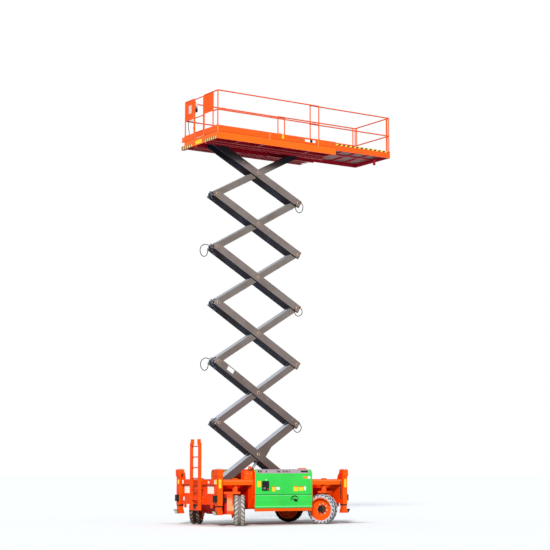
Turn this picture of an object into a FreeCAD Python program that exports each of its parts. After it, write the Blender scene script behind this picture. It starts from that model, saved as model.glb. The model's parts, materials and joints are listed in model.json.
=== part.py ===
"""Rough-terrain scissor lift: a four-wheel-steered chassis with corner outriggers and side
engine pods, six stages of crossed arms, and a railed platform with a roll-out extension.
Millimetres. +Z is up, +X is the end that the extension rolls out of, and -Y is the near side."""
import FreeCAD
import Part
import os
from math import sin, cos, tan, pi, degrees, radians, asin

Vec = FreeCAD.Vector
X_AXIS = Vec(1, 0, 0)
Y_AXIS = Vec(0, 1, 0)
Z_AXIS = Vec(0, 0, 1)

# Fits between pieces
running_gap = 0.05
open_pivot_gap = 0.5
slide_gap = 0.3
moving_gap = 6.0

# Wheels and steering
tyre_radius = 420.0
tyre_width = 300.0
tread_radius = 392.0
lug_count = 21
lug_width = 60.0
lug_slant = 100.0
lug_inner_y = 50.0
lug_top = 412.3
rim_radius = 300.0
rim_flange = 18.0
rim_wall = 12.0
rim_disc = 22.0
rim_dish = -10.0
hub_cap_radius = 100.0
hub_cap_depth = 95.0
spindle_radius = 45.0
motor_radius = 150.0
kingpin_x = 1482.0
kingpin_y = 900.0
kingpin_radius = 45.0
kingpin_boss_radius = 76.0
wheel_offset = 115.0
knuckle_plate_bottom = 862.0
knuckle_plate_top = 918.0
knuckle_leg_width = 220.0
knuckle_leg_thick = 250.0
knuckle_leg_bottom = 312.0
hub_flange_radius = 205.0
inner_lock = 58.0
outer_lock = -49.0

# Chassis
side_beam_bottom = 1100.0
side_beam_top = 1250.0
side_beam_inner = 795.0
side_beam_outer = 1035.0
spine_half_width = 400.0
spine_bottom = 600.0
spine_top = 1000.0
spine_cross_width = 110.0
spine_cross_bottom = 660.0
spine_cross_top = 850.0
tie_lug_y = 700.0
tie_lug_bore = 25.0
tie_lug_drop = 45.0
tie_lug_radius = 55.0
tie_lug_thick = 30.0
bulkhead_x = 980.0
bulkhead_thick = 25.0
bulkhead_bottom = 470.0
belly_half_width = 380.0
belly_bottom = 300.0
belly_slope = 300.0
outrigger_x = 2080.0
outrigger_y = 1025.0
outrigger_tube = 154.0
outrigger_wall = 10.0
outrigger_bottom = 550.0
outrigger_top = 1520.0
outrigger_collar = 18.0
outrigger_collar_bottom = 1330.0
end_beam_bottom = 1110.0
end_beam_top = 1245.0
end_sill_bottom = 570.0
end_sill_top = 815.0
end_beam_depth = 120.0
end_web_thick = 20.0
end_frame_inset = 40.0
bumper_width = 120.0
bumper_inset = 15.0
bumper_depth = 65.0
bumper_bottom = 645.0
bumper_top = 825.0

# Outrigger legs
leg_foot_z = 305.0
leg_band_height = 170.0
foot_height = 80.0
foot_pad_thick = 32.0
foot_width = 166.0
foot_pad_width = 180.0
leg_top_below_cap = 90.0

# Side pods and hoods
pod_rear_x = -974.0
pod_front_x = 905.0
pod_outer = 1150.0
pod_inner = 400.0
pod_bottom = 445.0
pod_floor = 50.0
pod_wall = 20.0
hood_bottom = 505.0
hood_top = 1525.0
hood_thick = 22.0
hood_corner = 120.0
hood_skirt = 160.0
hood_skirt_in = 28.0
hood_wrap = 22.0
hood_hinge_inset = 40.0
hinge_rod_radius = 10.0
hinge_sleeve_radius = 20.0
engine_length = 1050.0
engine_width = 420.0
engine_height = 620.0
saddle_box_rear = -1268.0
saddle_box_inner = 860.0
saddle_box_top = 1490.0
beacon_radius = 55.0
beacon_height = 120.0

# Ladder at the rear end
ladder_y = -38.0
ladder_half_width = 237.0
ladder_bottom = 415.0
ladder_top = 2345.0
ladder_face_x = -2265.0
ladder_depth = 90.0
ladder_stringer = 40.0
ladder_rung_radius = 16.0
ladder_rung_pitch = 290.0
ladder_first_rung = 700.0
ladder_narrow_from = 2250.0
ladder_narrow_in = 40.0
ladder_foot_plate = 115.0

# Scissor pack
stages = 6
arm_half = 1566.0
lowest_half_angle = 34.99
centre_pin_offset = 18.8
arm_overhang = 80.0
outer_arm_depth = 212.0
inner_arm_low = 75.0
inner_arm_high = 100.0
first_arm_high = 130.0
arm_tube = 60.0
arm_cover_thick = 10.0
arm_cover_gap = 240.0
inner_arm_y = 76.0
base_pin_x = -1551.0
base_pin_z = 1039.0
pin_radius = 30.0
bush_radius = 52.0
cross_tube_radius = 38.0
roller_radius = 45.0
roller_width = 36.0
track_wall = 16.0
track_front_x = 1680.0
track_rear_x = 300.0
girder_rear_x = -1760.0

# Hoses that loop from arm to arm at the ends of the pack
hose_radius = 11.0
hose_clear = 22.0
hose_clamp_radius = 16.0
hose_loop_size = 100.0
cable_radius = 9.0

# Lift cylinder
cylinder_foot_x = 700.0
cylinder_foot_drop = 110.0
gusset_reach = 1660.0
gusset_drop = 150.0
gusset_width = 750.0
barrel_radius = 62.0
barrel_length = 800.0
rod_radius = 36.0
rod_length = 720.0
crosshead_radius = 58.0

# Platform
deck_rear_x = -2104.0
deck_front_x = 1958.0
deck_half_width = 906.0
deck_pin_rise = 24.0
deck_side_height = 206.0
deck_side_wall = 8.0
deck_side_flange = 28.0
deck_floor_thick = 6.0
deck_floor_inset = 94.0
toe_board_top = 383.0
toe_board_thick = 6.0
mid_rail_rise = 825.0
top_rail_rise = 1375.0
post_radius = 17.0
rail_radius = 18.0
main_rail_end_x = 1365.0
deck_cross_width = 60.0
deck_cross_count = 6

# Platform extension
ext_front_x = 4008.0
ext_rear_x = 1075.0
ext_travel = 1900.0
ext_beam_bottom = 144.0
ext_beam_top = 300.0
ext_beam_width = 40.0
ext_beam_inset = 44.0
ext_cross_depth = 34.0
ext_cross_count = 4
ext_toe_top = 350.0

# Gate and rear end of the platform
gate_far_y = 400.0
gate_near_y = -157.0
panel_near_y = -635.0
gate_mid_rise = 810.0
near_panel_drop = 545.0
far_panel_drop = 570.0
control_box_size = 260.0
control_box_length = 200.0

# Places worked out from the sizes above
arm_bend = 2 * degrees(asin(centre_pin_offset / arm_half))
arm_length = 2 * arm_half * cos(radians(arm_bend / 2))
pack_middle_x = base_pin_x + arm_half * cos(radians(lowest_half_angle))
outer_arm_y = inner_arm_y + arm_tube + moving_gap
pack_half_width = outer_arm_y + arm_tube
girder_inner_y = pack_half_width + 2 * moving_gap + roller_width
girder_outer_y = girder_inner_y + track_wall
side_face_x = outrigger_x + outrigger_tube / 2
end_frame_outer_x = side_face_x - end_frame_inset
end_frame_inner_x = end_frame_outer_x - end_beam_depth
cylinder_pivot_x = base_pin_x + cylinder_foot_x
cylinder_pivot_z = base_pin_z - cylinder_foot_drop
middle_x = (ext_front_x + ladder_face_x) / 2
deck_floor_half_width = deck_half_width - deck_floor_inset
ext_beam_outer = deck_half_width - ext_beam_inset


def pack_joints():
    """The pack's pin places, left and right, from the base up. Each arm's centre pin lies a little
    above the line between its end pins, so each stage stands a little flatter than the one below."""
    left, right = [(base_pin_x, base_pin_z)], [(2 * pack_middle_x - base_pin_x, base_pin_z)]
    z, half_angle = base_pin_z, lowest_half_angle
    for stage in range(stages):
        z += arm_half * sin(radians(half_angle))
        half_angle -= arm_bend
        z += arm_half * sin(radians(half_angle))
        reach = arm_half * cos(radians(half_angle))
        left.append((pack_middle_x - reach, z))
        right.append((pack_middle_x + reach, z))
    return left, right


left_pins, right_pins = pack_joints()
deck_pin_x = left_pins[stages][0]
deck_z = left_pins[stages][1] - deck_pin_rise
floor_z = deck_z + deck_side_height + deck_floor_thick


def arm_slope(stage):
    """The slope in degrees of the arms in one stage, counted from 0."""
    return lowest_half_angle - (stage + 0.5) * arm_bend


def box(x0, x1, y0, y1, z0, z1):
    """A block between two corners, given in any order."""
    low = Vec(min(x0, x1), min(y0, y1), min(z0, z1))
    return Part.makeBox(abs(x1 - x0), abs(y1 - y0), abs(z1 - z0), low)


def rod(radius, start, end):
    """A round bar between two points."""
    run = end - start
    return Part.makeCylinder(radius, run.Length, start, run)


def across(radius, half_length, x, z):
    """A round bar across the machine, centred on its middle plane."""
    return rod(radius, Vec(x, -half_length, z), Vec(x, half_length, z))


def join(pieces):
    """One solid from pieces that touch or overlap."""
    first, rest = pieces[0], pieces[1:]
    return first.multiFuse(rest).removeSplitter() if rest else first


def prism(points, direction):
    """A flat outline pushed along a direction."""
    wire = Part.makePolygon(points + [points[0]])
    return Part.Face(wire).extrude(direction)


def far_copy(shape):
    """The same piece on the far side of the machine."""
    return shape.mirror(Vec(0, 0, 0), Y_AXIS)


def front_copy(shape):
    """The same piece at the front end of the chassis."""
    return shape.mirror(Vec(0, 0, 0), X_AXIS)


def both_sides(shape):
    return [shape, far_copy(shape)]


def save(name, shape):
    """Writes one piece with the machine's middle on the origin."""
    placed = shape.copy()
    placed.translate(Vec(-middle_x, 0, 0))
    placed.exportStep("parts/" + name + ".step")


def pin_bore(radius, x, z=0.0):
    return across(radius, girder_outer_y + 50, x, z)


def inner_arm(first, last):
    """An inner arm pair with its bushes and top covers. The first one has the cylinder's gusset,
    and the last one ends in the pin and rollers that run under the platform."""
    high = first_arm_high if first else inner_arm_high
    bar = box(-arm_overhang, arm_length + arm_overhang, inner_arm_y, inner_arm_y + arm_tube, -inner_arm_low, high)
    pieces = both_sides(bar)
    half = inner_arm_y + arm_tube
    middle = arm_length / 2
    for reach, rise in ((0.0, 0.0), (middle, centre_pin_offset), (arm_length, 0.0)):
        pieces.append(across(bush_radius, half, reach, rise))
    for start, end in ((bush_radius + 30, middle), (middle + bush_radius + 30, arm_length)):
        pieces.append(box(start, end - arm_cover_gap, -inner_arm_y, inner_arm_y, high - arm_cover_thick, high))
    for share in (0.22, 0.78):
        pieces.append(across(cross_tube_radius, inner_arm_y, arm_length * share, 0))
    if first:
        low = -gusset_drop - crosshead_radius - 10
        outline = [(-0.387, -inner_arm_low + 10), (-0.133, low), (0.053, low), (0.173, low + 30),
                   (0.613, -inner_arm_low + 10)]
        corners = [Vec(gusset_reach + share * gusset_width, inner_arm_y, rise) for share, rise in outline]
        pieces += both_sides(prism(corners, Vec(0, arm_tube, 0)))
    arm = join(pieces)
    arm = arm.cut(pin_bore(pin_radius + running_gap, 0))
    arm = arm.cut(pin_bore(pin_radius + running_gap, middle, centre_pin_offset))
    if last:
        return arm.fuse(roller_pin(arm_length))
    return arm.cut(pin_bore(pin_radius + open_pivot_gap, arm_length))


def roller_pin(x):
    """A pin across the pack with a roller at each end."""
    roller = rod(roller_radius, Vec(x, pack_half_width + moving_gap, 0),
                 Vec(x, pack_half_width + moving_gap + roller_width, 0))
    return join([across(pin_radius, pack_half_width + moving_gap + 5, x, 0)] + both_sides(roller))


def outer_arm(first, last):
    """An outer arm pair with its three pins, from the upper left pin to the lower right one."""
    half = outer_arm_depth / 2
    bar = box(-arm_overhang, arm_length + arm_overhang, outer_arm_y, outer_arm_y + arm_tube, -half, half)
    pieces = both_sides(bar)
    top_half = girder_outer_y if last else pack_half_width
    pieces.append(across(pin_radius, top_half, 0, 0))
    pieces.append(across(pin_radius, pack_half_width, arm_length / 2, centre_pin_offset))
    pieces.append(roller_pin(arm_length) if first else across(pin_radius, pack_half_width, arm_length, 0))
    return join(pieces)


def tilt(shape, angle, x, z):
    """Turns a piece drawn along X up by an angle and puts its first pin at x, z."""
    shape.rotate(Vec(0, 0, 0), Y_AXIS, -angle)
    shape.translate(Vec(x, 0, z))
    return shape


hoses = (
    # name, outer arm that it rides on, end of that arm along X, stretch of its drop
    ("hose_1", 2, 1, 1.0),
    ("hose_2", 2, -1, 1.0),
    ("hose_3", 4, 1, 1.0),
    ("hose_4", 4, -1, 1.0),
    ("hose_5", 6, 1, 1.22),
)
right_loop = (
    # out from the arm's end pin and up from it, in loop sizes
    (0.70, 0.25), (1.35, -0.25), (1.50, -1.20), (0.95, -2.05), (0.0, -2.40), (-0.90, -2.00), (-1.30, -1.15),
    (-1.20, -0.30),
)
left_loop = (
    # out from the arm's end pin and up from it, in loop sizes
    (0.40, 0.85), (1.30, 1.15), (2.35, 0.95), (3.20, 0.20), (3.40, -0.85), (3.10, -1.85), (2.25, -2.50),
    (1.25, -2.15), (0.85, -1.20), (0.80, -0.30),
)


def cord_tube(points, radius):
    """A tube along straight runs joined by arcs, each as wide as its two runs allow."""
    edges, start, tightest = [], points[0], None
    for before, corner, after in zip(points, points[1:], points[2:]):
        back, ahead = before - corner, after - corner
        reach = 0.45 * min(back.Length, ahead.Length)
        half_turn = (pi - back.getAngle(ahead)) / 2
        bend = reach / tan(half_turn)
        back.normalize()
        ahead.normalize()
        inward = back + ahead
        inward.normalize()
        enter, leave = corner + back * reach, corner + ahead * reach
        middle = corner + inward * (bend / cos(half_turn) - bend)
        edges += [Part.LineSegment(start, enter), Part.Arc(enter, middle, leave)]
        start = leave
        tightest = bend if tightest is None else min(tightest, bend)
    edges.append(Part.LineSegment(start, points[-1]))
    path = Part.Wire([edge.toShape() for edge in edges])
    ring = Part.Wire([Part.makeCircle(radius, points[0], points[1] - points[0])])
    tube = path.makePipeShell([ring], True, False)
    print("cord radii from %.0f mm, length %.0f mm, volume %.4f of the plain tube's"
          % (tightest, path.Length, tube.Volume / (pi * radius ** 2 * path.Length)))
    return tube


def hose_route(arm, end, stretch):
    """The points of one hose loop beside the end pin of an outer arm."""
    loop = right_loop if end > 0 else left_loop
    pin = right_pins[arm - 1] if end > 0 else left_pins[arm]
    y = -end * (pack_half_width + hose_clear)
    size = hose_loop_size
    return [Vec(pin[0] + end * out * size, y, pin[1] + up * size * (stretch if up < 0 else 1.0)) for out, up in loop]


def hose_clamps(points):
    """The two clamps that hold a hose loop to the face of its arm."""
    pieces = []
    for end, inner in ((points[0], points[1]), (points[-1], points[-2])):
        back = end - inner
        back.normalize()
        far = end + back * 36
        pieces.append(rod(hose_clamp_radius, end, far))
        side = 1 if end.y > 0 else -1
        post = far - back * 14
        pieces.append(box(post.x - 12, post.x + 12, side * (pack_half_width - 1), end.y, post.z - 12, post.z + 12))
    return pieces


def scissor_arms():
    for stage in range(stages):
        first, last = stage == 0, stage == stages - 1
        angle = arm_slope(stage)
        save("inner_arm_%d" % (stage + 1), tilt(inner_arm(first, last), angle, *left_pins[stage]))
        outer = tilt(outer_arm(first, last), -angle, *left_pins[stage + 1])
        clamps = []
        for name, arm, end, stretch in hoses:
            if arm == stage + 1:
                route = hose_route(arm, end, stretch)
                clamps += hose_clamps(route)
                save(name, cord_tube(route, hose_radius))
        save("outer_arm_%d" % (stage + 1), join([outer] + clamps) if clamps else outer)


def track_girder(z_pin, z_low, z_high, rear_x, front_x):
    """A side girder of the scissor base or deck, with the two flanges that a roller runs between."""
    web = box(rear_x, front_x, girder_inner_y, girder_outer_y, z_low, z_high)
    lip_in = pack_half_width + moving_gap
    under = z_pin - roller_radius - slide_gap
    over = z_pin + roller_radius + slide_gap
    low_lip = box(track_rear_x, front_x, lip_in, girder_inner_y, under - track_wall, under)
    high_lip = box(track_rear_x, front_x, lip_in, girder_inner_y, over, over + track_wall)
    return join([web, low_lip, high_lip])


def scissor_base():
    """The girders on top of the spine, with the rear pin and the lift cylinder's lugs."""
    high = base_pin_z + roller_radius + slide_gap + track_wall
    girder = track_girder(base_pin_z, spine_cross_top, high, girder_rear_x, track_front_x)
    pieces = both_sides(girder)
    pieces.append(across(pin_radius, girder_inner_y + 1, base_pin_x, base_pin_z))
    collar_in = inner_arm_y + arm_tube + moving_gap
    collar = rod(bush_radius, Vec(base_pin_x, collar_in, base_pin_z),
                 Vec(base_pin_x, girder_inner_y + 1, base_pin_z))
    pieces += both_sides(collar)
    foot_x, foot_z = cylinder_pivot_x, cylinder_pivot_z
    low = spine_cross_top
    tie = box(foot_x - 70, foot_x + 70, -girder_inner_y - 1, girder_inner_y + 1, low, low + 10)
    lug = prism([Vec(foot_x - 70, barrel_radius + moving_gap, low),
                 Vec(foot_x - 42, barrel_radius + moving_gap, foot_z + 50),
                 Vec(foot_x + 42, barrel_radius + moving_gap, foot_z + 50),
                 Vec(foot_x + 70, barrel_radius + moving_gap, low)], Vec(0, 20, 0))
    pieces += [tie] + both_sides(lug)
    pieces.append(across(pin_radius, barrel_radius + moving_gap + 10, foot_x, foot_z))
    save("scissor_base", join(pieces))


def lift_cylinder():
    """The barrel swings on the chassis, and the rod's crosshead lies between the gussets."""
    foot = Vec(cylinder_pivot_x, 0, cylinder_pivot_z)
    turn = radians(arm_slope(0))
    head = Vec(base_pin_x + gusset_reach * cos(turn) + gusset_drop * sin(turn), 0,
               base_pin_z + gusset_reach * sin(turn) - gusset_drop * cos(turn))
    run = head - foot
    length = run.Length
    along = Vec(run).normalize()
    start = foot + along * (pin_radius + 18)
    barrel = join([rod(barrel_radius, start, foot + along * barrel_length),
                   across(pin_radius + 28, barrel_radius, foot.x, foot.z)])
    barrel = barrel.cut(across(pin_radius + running_gap, barrel_radius + 20, foot.x, foot.z))
    bore = rod(rod_radius + running_gap, foot + along * 110, foot + along * (barrel_length + 20))
    save("cylinder_barrel", barrel.cut(bore))
    shaft = rod(rod_radius, foot + along * (length - rod_length), head)
    save("cylinder_rod", join([shaft, across(crosshead_radius, inner_arm_y - moving_gap, head.x, head.z)]))


def spine():
    """Two box rails outside the scissor's girders, tied by cross members."""
    inside = girder_outer_y
    rail = box(-end_frame_inner_x, end_frame_inner_x, inside, spine_half_width, spine_bottom, spine_top)
    pieces = both_sides(rail)
    end = end_frame_inner_x - spine_cross_width
    for x in (-end, cylinder_pivot_x, cylinder_pivot_x / 3, -cylinder_pivot_x / 3, bulkhead_x, end):
        half = spine_cross_width / 2
        pieces.append(box(x - half, x + half, -inside - 1, inside + 1, spine_cross_bottom, spine_cross_top))
    save("chassis_spine", join(pieces))


def side_beams():
    """The beams that the wheels hang from, one over each wheel bay, each with the bulkhead plate
    at the bay's inner end, and the belly housing between the rear wheels."""
    plate_in, plate_out = spine_half_width, side_beam_outer
    low = bulkhead_bottom
    outline = [Vec(bulkhead_x, plate_in, low), Vec(bulkhead_x, plate_out - 150, low),
               Vec(bulkhead_x, plate_out, low + 260), Vec(bulkhead_x, plate_out, side_beam_top),
               Vec(bulkhead_x, plate_in, side_beam_top)]
    plate = prism(outline, Vec(bulkhead_thick, 0, 0))
    x_in = bulkhead_x + bulkhead_thick
    beam = box(x_in, end_frame_inner_x, side_beam_inner, side_beam_outer, side_beam_bottom, side_beam_top)
    boss = rod(kingpin_boss_radius, Vec(kingpin_x, kingpin_y, side_beam_top),
               Vec(kingpin_x, kingpin_y, side_beam_top + 30))
    beam = join([beam, boss, plate])
    beam = beam.cut(rod(kingpin_radius + running_gap, Vec(kingpin_x, kingpin_y, side_beam_bottom - 10),
                        Vec(kingpin_x, kingpin_y, side_beam_top + 60)))
    beams = both_sides(beam)
    rear = -end_frame_inner_x + 60
    belly = prism([Vec(rear, -belly_half_width, spine_bottom), Vec(rear + 40, -belly_half_width, spine_bottom - 50),
                   Vec(rear + 40 + belly_slope, -belly_half_width, belly_bottom),
                   Vec(-bulkhead_x - 40, -belly_half_width, belly_bottom),
                   Vec(-bulkhead_x, -belly_half_width, spine_bottom)], Vec(0, 2 * belly_half_width, 0))
    save("side_beams", Part.makeCompound(beams + [front_copy(piece) for piece in beams] + [belly]))


def outrigger_tubes():
    """The four upright corner tubes that the legs slide in, each with a thicker collar on top."""
    half = outrigger_tube / 2
    inner = half - outrigger_wall
    x, y = outrigger_x, outrigger_y
    tube = box(x - half, x + half, y - half, y + half, outrigger_bottom, outrigger_top)
    wide = half + outrigger_collar
    collar = box(x - half, x + wide, y - wide, y + wide, outrigger_collar_bottom, outrigger_top)
    tube = tube.fuse(collar)
    tube = tube.cut(box(x - inner, x + inner, y - inner, y + inner, outrigger_bottom - 10,
                        outrigger_top - outrigger_wall))
    tubes = both_sides(tube)
    save("outrigger_tubes", Part.makeCompound(tubes + [front_copy(piece) for piece in tubes]))


def end_frame():
    """The ends of the chassis between the corner tubes: a top beam, a recessed web and a sill with
    two tie-down eyes under it."""
    y = outrigger_y - outrigger_tube / 2
    x_in, x_out = end_frame_inner_x, end_frame_outer_x
    top = box(x_in, x_out, -y, y, end_beam_bottom, end_beam_top)
    sill = box(x_in, x_out, -y, y, end_sill_bottom, end_sill_top)
    web = box(x_in + 10, x_in + 10 + end_web_thick, -y, y, end_sill_top, end_beam_bottom)
    pieces = [top, sill, web]
    bore_z = end_sill_bottom - tie_lug_drop
    eye_in = x_out - tie_lug_thick
    for lug_y in (-tie_lug_y, tie_lug_y):
        pieces.append(rod(tie_lug_radius, Vec(eye_in, lug_y, bore_z), Vec(x_out, lug_y, bore_z)))
    frame = join(pieces)
    for lug_y in (-tie_lug_y, tie_lug_y):
        frame = frame.cut(rod(tie_lug_bore, Vec(eye_in - tie_lug_thick, lug_y, bore_z),
                              Vec(x_out + tie_lug_thick, lug_y, bore_z)))
    save("end_frames", Part.makeCompound([frame, front_copy(frame)]))


def bumpers():
    """Rubber blocks on the outer faces of the corner tubes."""
    half = bumper_width / 2
    y = outrigger_y - bumper_inset
    block = box(side_face_x, side_face_x + bumper_depth, y - half, y + half, bumper_bottom, bumper_top)
    blocks = both_sides(block)
    save("rubber_bumpers", Part.makeCompound(blocks + [front_copy(piece) for piece in blocks]))


corners = (
    # name, end along X, side along Y, steering lock at rest
    ("rear_near", -1, -1, inner_lock),
    ("rear_far", -1, 1, outer_lock),
    ("front_near", 1, -1, inner_lock),
    ("front_far", 1, 1, outer_lock),
)


def place_at_corner(shape, end, side):
    """Mirrors a piece of the front far corner to the corner named by its end and side."""
    if end < 0:
        shape = front_copy(shape)
    if side < 0:
        shape = far_copy(shape)
    return shape


def outrigger_leg():
    """One square leg in its corner tube, with a dark band, a foot and its pad."""
    x, y = outrigger_x, outrigger_y
    half = outrigger_tube / 2 - outrigger_wall - slide_gap
    foot_top = leg_foot_z + foot_pad_thick + foot_height
    bar = box(x - half, x + half, y - half, y + half, foot_top - 5, outrigger_top - leg_top_below_cap)
    low = Vec(x, y, leg_foot_z + foot_pad_thick)
    wide = foot_width / 2
    base = Part.makePolygon([low + Vec(-wide, -wide, 0), low + Vec(wide, -wide, 0),
                             low + Vec(wide, wide, 0), low + Vec(-wide, wide, 0),
                             low + Vec(-wide, -wide, 0)])
    neck = half + 11
    high = low + Vec(0, 0, foot_height)
    cap = Part.makePolygon([high + Vec(-neck, -neck, 0), high + Vec(neck, -neck, 0),
                            high + Vec(neck, neck, 0), high + Vec(-neck, neck, 0),
                            high + Vec(-neck, -neck, 0)])
    foot = Part.makeLoft([base, cap], True)
    pad_half = foot_pad_width / 2
    pad = box(x - pad_half, x + pad_half, y - pad_half, y + pad_half, leg_foot_z,
              leg_foot_z + foot_pad_thick)
    return join([bar, foot, pad])


def knuckle():
    """The steered knuckle of the front far corner, pointing straight: kingpin, top plate, leg and
    drive motor housing with the wheel's spindle."""
    x, y = kingpin_x, kingpin_y
    pin = rod(kingpin_radius, Vec(x, y, side_beam_bottom - 30), Vec(x, y, side_beam_top + 28))
    boss = rod(kingpin_boss_radius, Vec(x, y, knuckle_plate_top), Vec(x, y, side_beam_bottom - slide_gap))
    tyre_inner = y + wheel_offset - tyre_width / 2
    leg_out = tyre_inner - moving_gap
    leg_in = leg_out - knuckle_leg_thick
    half = knuckle_leg_width / 2
    wide = half + 15
    plate = box(x - wide, x + wide, leg_in - 35, y + 140, knuckle_plate_bottom, knuckle_plate_top)
    arm = box(x - wide - 105, x - wide, leg_in, leg_in + 90, knuckle_plate_bottom, knuckle_plate_top - 25)
    z = tyre_radius
    low = knuckle_leg_bottom
    leg = prism([Vec(x - half, leg_in, low), Vec(x + half, leg_in, low), Vec(x + half, leg_out - 40, low),
                 Vec(x + half - 40, leg_out, low), Vec(x - half + 40, leg_out, low),
                 Vec(x - half, leg_out - 40, low)], Vec(0, 0, knuckle_plate_bottom - low))
    mid = y + wheel_offset
    flange = rod(hub_flange_radius, Vec(x, leg_out - 45, z), Vec(x, leg_out, z))
    motor = rod(motor_radius, Vec(x, leg_out - 60, z), Vec(x, mid + rim_dish - 10, z))
    spindle = rod(spindle_radius, Vec(x, leg_out - 60, z), Vec(x, mid + rim_dish + rim_disc + 12, z))
    return join([pin, boss, plate, arm, leg, flange, motor, spindle])


def rim():
    """The dished wheel rim of the front far corner, pointing straight."""
    x, z = kingpin_x, tyre_radius
    mid = kingpin_y + wheel_offset
    half = tyre_width / 2 - 15
    lip = 16.0
    flange = rim_radius + rim_flange
    barrel = rod(rim_radius, Vec(x, mid - half, z), Vec(x, mid + half, z))
    inside = rod(rim_radius - rim_wall, Vec(x, mid - half - 1, z), Vec(x, mid + half + 1, z))
    shell = barrel.cut(inside)
    disc = rod(rim_radius - rim_wall + 1, Vec(x, mid + rim_dish, z), Vec(x, mid + rim_dish + rim_disc, z))
    cap = rod(hub_cap_radius, Vec(x, mid + rim_dish + rim_disc, z),
              Vec(x, mid + rim_dish + rim_disc + hub_cap_depth, z))
    pieces = [shell, disc, cap]
    for outer in (-half, half - lip):
        ring = rod(flange, Vec(x, mid + outer, z), Vec(x, mid + outer + lip, z))
        pieces.append(ring.cut(rod(rim_radius - rim_wall, Vec(x, mid - half - 1, z),
                                   Vec(x, mid + half + 1, z))))
    wheel = join(pieces)
    return wheel.cut(rod(spindle_radius + running_gap, Vec(x, mid + rim_dish - 1, z),
                         Vec(x, mid + rim_dish + rim_disc + 12 + slide_gap, z)))


def tyre():
    """The tyre of the front far corner, pointing straight: a carcass with two rows of slanted lugs
    that wrap over its shoulders. One lug's corner stands on the ground."""
    half = tyre_width / 2
    seat = half - 15 - 16
    bead = rim_radius + rim_flange
    side = [(rim_radius, seat), (bead, seat), (bead, half - 8), (bead + 24, half), (tread_radius - 47, half),
            (tread_radius, half - 32)]
    points = [(out, -along) for out, along in side] + [(out, along) for out, along in reversed(side)]
    outline = [Vec(0, along, out) for out, along in points]
    face = Part.Face(Part.makePolygon(outline + [outline[0]]))
    carcass = face.revolve(Vec(0, 0, 0), Y_AXIS, 360)
    section = [(lug_inner_y, tread_radius - 60), (lug_inner_y, lug_top), (half - 38, lug_top),
               (half, tyre_radius - 45), (half, tread_radius - 60)]
    slope = lug_slant / (half - lug_inner_y)
    start = -(lug_slant + lug_width) / 2
    profile = [Vec(start + (along - lug_inner_y) * slope, along, out) for along, out in section]
    lug = prism(profile, Vec(lug_width, 0, 0))
    pitch = 360 / lug_count
    corner_turn = degrees(asin((lug_slant + lug_width) / 2 / tyre_radius))
    lugs = []
    for row in (0, 1):
        block = far_copy(lug) if row else lug
        for number in range(lug_count):
            turned = block.copy()
            turned.rotate(Vec(0, 0, 0), Y_AXIS, 180 + corner_turn + (number + row / 2) * pitch)
            lugs.append(turned)
    whole = carcass.multiFuse(lugs)
    whole.translate(Vec(kingpin_x, kingpin_y + wheel_offset, tyre_radius))
    return whole


def wheels():
    """Each corner's knuckle, rim and tyre, turned to the lock that they stand at."""
    straight = (("knuckle", knuckle()), ("rim", rim()), ("tyre", tyre()))
    for name, end, side, lock in corners:
        for piece, pattern in straight:
            shape = pattern.copy()
            shape.rotate(Vec(kingpin_x, kingpin_y, 0), Z_AXIS, lock)
            save(piece + "_" + name, place_at_corner(shape, end, side))
        save("outrigger_leg_" + name, place_at_corner(outrigger_leg(), end, side))


def pod():
    """The fixed tray of a side pod, with its inner wall and the rod that the hood hangs on."""
    tray = box(pod_rear_x, pod_front_x, pod_inner, pod_outer - 12, pod_bottom, pod_bottom + pod_floor)
    wall_in, wall_out = pod_inner, pod_inner + pod_wall
    wall = box(pod_rear_x, pod_front_x, wall_in, wall_out, pod_bottom, hood_top - 60)
    hinge_y = pod_inner + hood_hinge_inset
    hinge_z = hood_top - hinge_sleeve_radius
    bar = rod(hinge_rod_radius, Vec(pod_rear_x + 40, hinge_y, hinge_z), Vec(pod_front_x - 40, hinge_y, hinge_z))
    pieces = [tray, wall, bar]
    for x in (pod_rear_x + 40, (pod_rear_x + pod_front_x) / 2, pod_front_x - 70):
        pieces.append(box(x, x + 30, wall_in, hinge_y + 8, hood_top - 130, hinge_z + 10))
    return join(pieces)


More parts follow.
